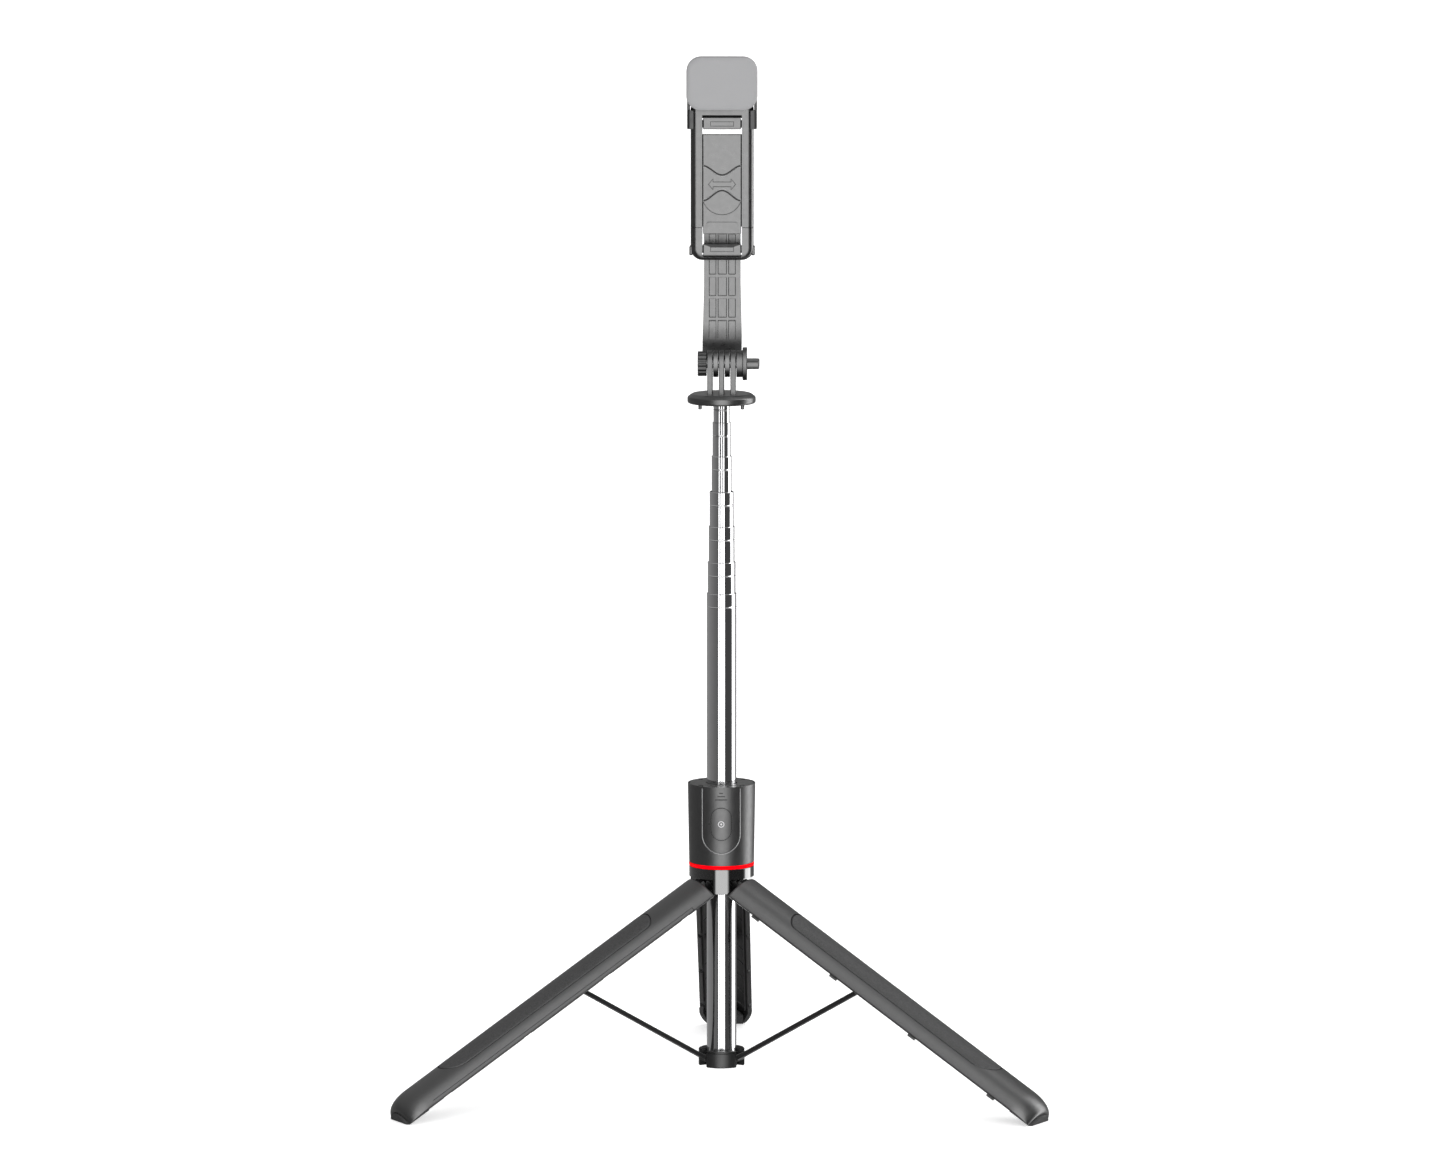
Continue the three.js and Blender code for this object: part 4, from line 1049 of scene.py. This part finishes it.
cover_low, cover_high = box_of("clamp_cover")
PIN_Y, UPPER_PIN, LOWER_PIN = 21.3, 531.6, 457.9
SPLIT_GAP = 0.15
frame_bottom = CLAMP_SPLIT + SPLIT_GAP
clamp_frame = cut(
    clamp_block(6.0),
    box((-30, 30), (0, 50), (400, frame_bottom)),
    box((-WINDOW_HALF, WINDOW_HALF), (0, 50), (frame_bottom - 1, WINDOW_TOP)),
)
join(clamp_frame, box(BEHIND_WINDOW, (cover_high.y + 0.3, 28.2), (frame_bottom, 522.8), 0.2))
join(clamp_frame, box(BEHIND_WINDOW, (24.2, 28.2), (526.5, WINDOW_TOP + 1), 0.2))
for side in (-1, 1):
    cut(clamp_frame, box(sided(side, 12, 15.9), (22.2, 28.3), (frame_bottom - 1, 513)))
    # A shallow line is moulded beside the window on each side.
    line = box(sided(side, WINDOW_HALF + 0.75, WINDOW_HALF + 1.0), (18, CLAMP_FRONT + 0.35), (477, 531))
    cut(clamp_frame, line)
cut(
    clamp_frame,
    rod("y", SCREW_BORE, (0, 50), 0, SWIVEL_HEIGHT, 48),
    rod("x", PIN_BORE, (-13, 13), PIN_Y, UPPER_PIN, 32),
)
place(clamp_frame, "clamp_frame", CLAMP)
# Painted shade: the faces at the back of the window's recess get the near-black material.
paint_shade(clamp_frame, lambda p: abs(p.x) < WINDOW_HALF + 0.05 and 22 < p.y < 24.6)

rail_top = box_of("clamp_slider")[1].z
slider_top = CLAMP_SPLIT - SPLIT_GAP
slider = cut(
    clamp_block(6.5),
    box((-30, 30), (0, 50), (slider_top, 600)),
    box((-WINDOW_HALF, WINDOW_HALF), (0, 50), (CLAMP_BOTTOM + 1.2, slider_top + 1)),
)
join(slider, box(BEHIND_WINDOW, (24.5, CLAMP_BACK), (CLAMP_BOTTOM, 461.8), 0.3))
for side in (-1, 1):
    join(
        slider,
        box(sided(side, 12.3, 15.6), (22.5, 25), (slider_top - 1, rail_top), 0.3),
        box(sided(side, 16, 17.9), (21, 29), (457, 462), 0.7),
    )
cut(slider, rod("x", PIN_BORE, (-13, 13), PIN_Y, LOWER_PIN, 32))
place(slider, "clamp_slider", CLAMP)

cover_span = (cover_low.x + 0.12, cover_high.x - 0.12)
cover = box(cover_span, (cover_low.y, cover_high.y), (cover_low.z, cover_high.z), 0.3)


def ribbon(points, half):
    """A narrow band outline along an open path of (x, z) points."""
    left, right = [], []
    for i, point in enumerate(points):
        before = Vector(points[max(0, i - 1)])
        after = Vector(points[min(len(points) - 1, i + 1)])
        along_path = (after - before).normalized()
        normal = Vector((-along_path.y, along_path.x))
        left.append(tuple(Vector(point) + normal * half))
        right.append(tuple(Vector(point) - normal * half))
    return right + list(reversed(left))


def wave(edge, middle, half_width=10.6, steps=40):
    """A curve that is level at the cover's sides and dips or rises in the middle."""
    points = []
    for i in range(steps + 1):
        x = half_width * (2 * i / steps - 1)
        share = 0.5 * (1 + math.cos(math.pi * abs(x) / half_width))
        points.append((x, edge + (middle - edge) * share))
    return points


def engraving(outline, depth):
    return prism(outline, "y", (cover_low.y - 1, cover_low.y + depth))


def engrave_ring(piece, outline, half, axis_span):
    """Engraves a closed line of width 2 * half centred on an outline."""
    line = prism(offset(outline, -half), "y", axis_span)
    cut(line, prism(offset(outline, half), "y", (axis_span[0] - 1, axis_span[1] + 1)))
    return cut(piece, line)


def arrow_outline():
    half_length, half_width = 7.4, 3.0
    shaft, neck = 1.3, 4.9
    z0 = SWIVEL_HEIGHT
    return [
        (-half_length, z0), (-neck, z0 - half_width), (-neck, z0 - shaft), (neck, z0 - shaft),
        (neck, z0 - half_width), (half_length, z0), (neck, z0 + half_width), (neck, z0 + shaft),
        (-neck, z0 + shaft), (-neck, z0 + half_width),
    ]


cut(cover, engraving(ribbon(wave(506.3, 501.2), 0.42), 0.7))
cut(cover, engraving(ribbon(wave(487.1, 492.7), 0.42), 0.7))
engrave_ring(cover, arrow_outline(), 0.16, (cover_low.y - 1, cover_low.y + 0.4))
cut(cover, engraving(ribbon(arc((0, 490.3), 10.8, 198, 342, 40), 0.17), 0.4))
tongue_lines = [(-8.7, 470.0), (-8.7, 474.4), (-7.6, 475.5), (7.6, 475.5), (8.7, 474.4), (8.7, 470.0)]
for (start, end) in zip(tongue_lines, tongue_lines[1:]):
    cut(cover, engraving(ribbon([start, end], 0.12), 0.42))
place(cover, "clamp_cover", CLAMP)


def cover_line_shade_mask(p):
    return (
        abs(p.x) < 10.0 and cover_low.y + 0.06 < p.y < cover_low.y + 0.75
        and cover_low.z + 6.0 < p.z < cover_high.z - 0.6
    )


# Painted shade: the walls and floors of the cover's engraved lines get the near-black material in place of
# the shade in the grooves.
paint_shade(cover, cover_line_shade_mask)
# A rib follows each wave groove; its paler material is a painted highlight along the groove.
for (name, edge, middle) in (("upper", 505.35, 500.25), ("lower", 488.05, 493.65)):
    bead = follow([(x, cover_low.y + 0.12, zz) for (x, zz) in wave(edge, middle, 10.3)], 0.2, sides=8)
    place(bead, "clamp_cover", PAINTED_HIGHLIGHT, f"v_cover_rib_{name}", False)


JAW_HALF, JAW_REACH = 1.8, 5.6


def jaw(node, height, direction):
    low, high = box_of(node)
    across = (low.x, high.x)
    face = PIN_Y - JAW_HALF
    flap = sorted((height, height + direction * JAW_REACH))
    piece = box(across, (face, PIN_Y + JAW_HALF), flap, 0.4)
    join(piece, rod("x", JAW_HALF, across, PIN_Y, height, 48, 0.3))
    cut(piece, rod("x", PIN_BORE, (-11, 11), PIN_Y, height, 32))
    # A shallow framed panel on the flap's front.
    middle = height + direction * 2.6
    panel = [(-6.3, middle - 1.2), (6.3, middle - 1.2), (6.3, middle + 1.2), (-6.3, middle + 1.2)]
    engrave_ring(piece, panel, 0.14, (face - 1, face + 0.35))
    place(piece, node, CLAMP)
    # Painted shade: the jaw's top band and its panel's engraved line get the near-black material.
    band = high.z - (1.7 if direction > 0 else 1.2)

    def panel_line_shade_mask(p):
        return abs(p.x) < 6.6 and face + 0.06 < p.y < face + 0.37 and abs(p.z - middle) < 1.5

    paint_shade(piece, lambda p: p.z > band or panel_line_shade_mask(p))


jaw("upper_jaw", UPPER_PIN, -1)
jaw("lower_jaw", LOWER_PIN, 1)

# ---------- fill light
light_low, light_high = box_of("light_diffuser")
shell_low, shell_high = box_of("light_housing")
HALF = light_high.x
CORNER = 8.0


def light_outline(inset, steps=14):
    corner = max(1.2, CORNER - inset * 0.75)
    across, upright = (-HALF + inset, HALF - inset), (light_low.z + inset, light_high.z - inset)
    return rounded_rectangle(across, upright, corner, steps)


dome_levels = [(0.35, light_high.y), (0.0, light_high.y - 0.35), (0.0, light_low.y + 2.3)]
for k in range(1, 11):
    angle = math.pi / 2 * k / 10
    dome_levels.append((3.6 * (1 - math.cos(angle)), light_low.y + 2.3 - 1.8 * math.sin(angle)))
for (inset, rise) in ((5.5, 1.98), (7.5, 2.12), (9.5, 2.21), (11.5, 2.27), (13.0, 2.3)):
    dome_levels.append((inset, light_low.y + 2.3 - rise))
diffuser = skin([[(u, y, v) for (u, v) in light_outline(inset)] for (inset, y) in dome_levels])
place(diffuser, "light_diffuser", DIFFUSER, angle=60)

back_levels = [(0.0, shell_low.y), (0.0, shell_high.y - 1.0), (0.3, shell_high.y - 0.3), (1.0, shell_high.y)]
light_shell = skin([[(u, y, v) for (u, v) in light_outline(inset)] for (inset, y) in back_levels])
BUTTON_HEIGHT = light_high.z - 5
cut(
    light_shell,
    prism(light_outline(1.4), "y", (shell_low.y - 1, shell_high.y - 1.4)),
    rod("y", 2.5, (shell_high.y - 3, shell_high.y + 1), 0, BUTTON_HEIGHT, 48),
    box((8, 14.5), (shell_high.y - 0.9, shell_high.y + 1), (BUTTON_HEIGHT - 1.2, BUTTON_HEIGHT + 1.2), 0.4),
)
place(light_shell, "light_housing", CLAMP)

press_low, press_high = box_of("light_button")
place(rod("y", 2.2, (press_low.y, press_high.y), 0, BUTTON_HEIGHT, 48, 0.4), "light_button", BLACK)


def rounded_ear(side, top):
    """The clip's ear wraps the clamp's front edge with a round corner, in (x, y) outline."""
    corners = [(15.2, 17.6), (19.0, 17.6), (19.0, 27.0), (17.45, 27.0), (17.45, 18.9), (15.2, 18.9)]
    outline = rounded(corners, [0.5, 2.2, 0.4, 0, 0.5, 0.3], 6)
    if side < 0:
        outline = [(-x, y) for (x, y) in reversed(outline)]
    return prism(outline, "z", (EAR_BOTTOM, top), 0.25)


clip_z = (CLAMP_TOP + 0.3, CLAMP_TOP + 2.3)
EAR_BOTTOM = 526.3
lip_top = light_low.z - 0.3
clip = box((-19, 19), (19.3, 27), clip_z, 0.35)
join(clip, box((-10, 10), (19.3, 21.2), (clip_z[0], 555.4), 0.35))
for side in (-1, 1):
    join(
        clip,
        box(sided(side, 17.45, 19), (19.3, 27), (EAR_BOTTOM, clip_z[1]), 0.4),
        rounded_ear(side, lip_top),
    )
place(clip, "light_clip", BLACK)

# ---------- CAD nodes that stay as they are
CARRIED = {
    "steel_pin": STEEL,
    "circuit_board": BOARD,
    "black_plastic": BLACK,
    "housing_plastic": HOUSING,
    "joint_plastic": JOINT,
}
for node_name, node in frame["nodes"].items():
    node.data.materials.clear()
    node.data.materials.append(CARRIED.get(SLOTS[node_name], BLACK))

# ---------- floor, light and camera
FLOOR_SIZE = 30.0
bpy.ops.mesh.primitive_plane_add(size=FLOOR_SIZE, location=(0, 0, -0.0002))
floor = bpy.context.active_object
floor.name = "studio_floor"
floor.visible_glossy = False
floor_nodes = Nodes("pale_floor")
preset(
    floor_nodes.shader,
    Base_Color=(0.8, 0.8, 0.8, 1), Roughness=0.9, Emission_Color=(1, 1, 1, 1), Emission_Strength=0.55,
)
floor.data.materials.append(floor_nodes.material)

# The studio is a surround of soft panels. Each stop is (degrees to the right of the front, brightness).
PANELS = [
    (-180, 0.5), (-140, 0.35), (-62, 0.2), (-24, 0.13), (-18, 5.6), (20, 5.6), (27, 0.06), (82, 0.07),
    (90, 0.5), (96, 6.5), (121, 6.5), (128, 0.5), (150, 0.2), (180, 0.3),
]
# How strong the panels are at each height, from straight down to straight up.
HEIGHTS = [(-90, 0.12), (-45, 0.35), (-20, 0.9), (0, 1.0), (35, 1.0), (60, 0.5), (90, 0.2)]
OVERHEAD = [(-90, 0.06), (-30, 0.03), (20, 0.0), (50, 0.4), (90, 0.7)]

world = bpy.data.worlds.new("studio")
scene = bpy.context.scene
scene.world = world
world.use_nodes = True
tree = world.node_tree
tree.nodes.clear()
new, link = tree.nodes.new, tree.links.new


def math_node(operation, *sources):
    node = new("ShaderNodeMath")
    node.operation = operation
    for i, source in enumerate(sources):
        if isinstance(source, (int, float)):
            node.inputs[i].default_value = source
        else:
            link(source, node.inputs[i])
    return node.outputs[0]


def curve_of(source, stops, span):
    """Brightness along an angle, as a ramp between stops, scaled to the brightest stop."""
    ramp = new("ShaderNodeValToRGB")
    top = max(level for (_, level) in stops)
    elements = ramp.color_ramp.elements
    while len(elements) < len(stops):
        elements.new(0.5)
    for element, (angle, level) in zip(elements, stops):
        element.position = (angle - span[0]) / (span[1] - span[0])
        element.color = (level / top, level / top, level / top, 1)
    share = math_node("DIVIDE", math_node("SUBTRACT", source, span[0]), span[1] - span[0])
    link(share, ramp.inputs["Fac"])
    return math_node("MULTIPLY", ramp.outputs["Color"], top)


direction = new("ShaderNodeTexCoord").outputs["Generated"]
parts = new("ShaderNodeSeparateXYZ")
link(direction, parts.inputs[0])
to_degrees = 180 / math.pi
azimuth = math_node("MULTIPLY", math_node("ARCTAN2", parts.outputs["X"],
                    math_node("MULTIPLY", parts.outputs["Y"], -1.0)), to_degrees)
height = math_node("MULTIPLY", math_node("ARCSINE", parts.outputs["Z"]), to_degrees)
panels = math_node("MULTIPLY", curve_of(azimuth, PANELS, (-180, 180)), curve_of(height, HEIGHTS, (-90, 90)))
surround = math_node("ADD", panels, curve_of(height, OVERHEAD, (-90, 90)))
studio = new("ShaderNodeBackground")
link(surround, studio.inputs["Strength"])
backdrop = new("ShaderNodeBackground")
preset(backdrop, Color=(1, 1, 1, 1))
mix = new("ShaderNodeMixShader")
rays = new("ShaderNodeLightPath")
link(rays.outputs["Is Camera Ray"], mix.inputs[0])
link(studio.outputs[0], mix.inputs[1])
link(backdrop.outputs[0], mix.inputs[2])
output = new("ShaderNodeOutputWorld")
link(mix.outputs[0], output.inputs["Surface"])

scene.view_settings.view_transform = "Standard"
scene.view_settings.look = "None"

CAMERA_PLACE = Vector((0.0627, -5.1801, 0.9759))
CAMERA_AIM = Vector((0.0005, 0.0, 0.2823))
camera_data = bpy.data.cameras.new("camera")
camera_data.lens = 238.9
camera_data.sensor_width = 36.0
camera_data.clip_end = 100
camera = bpy.data.objects.new("camera", camera_data)
camera.location = AXIS + CAMERA_PLACE
camera.rotation_euler = (CAMERA_AIM - CAMERA_PLACE).to_track_quat("-Z", "Y").to_euler()
bpy.context.collection.objects.link(camera)
scene.camera = camera
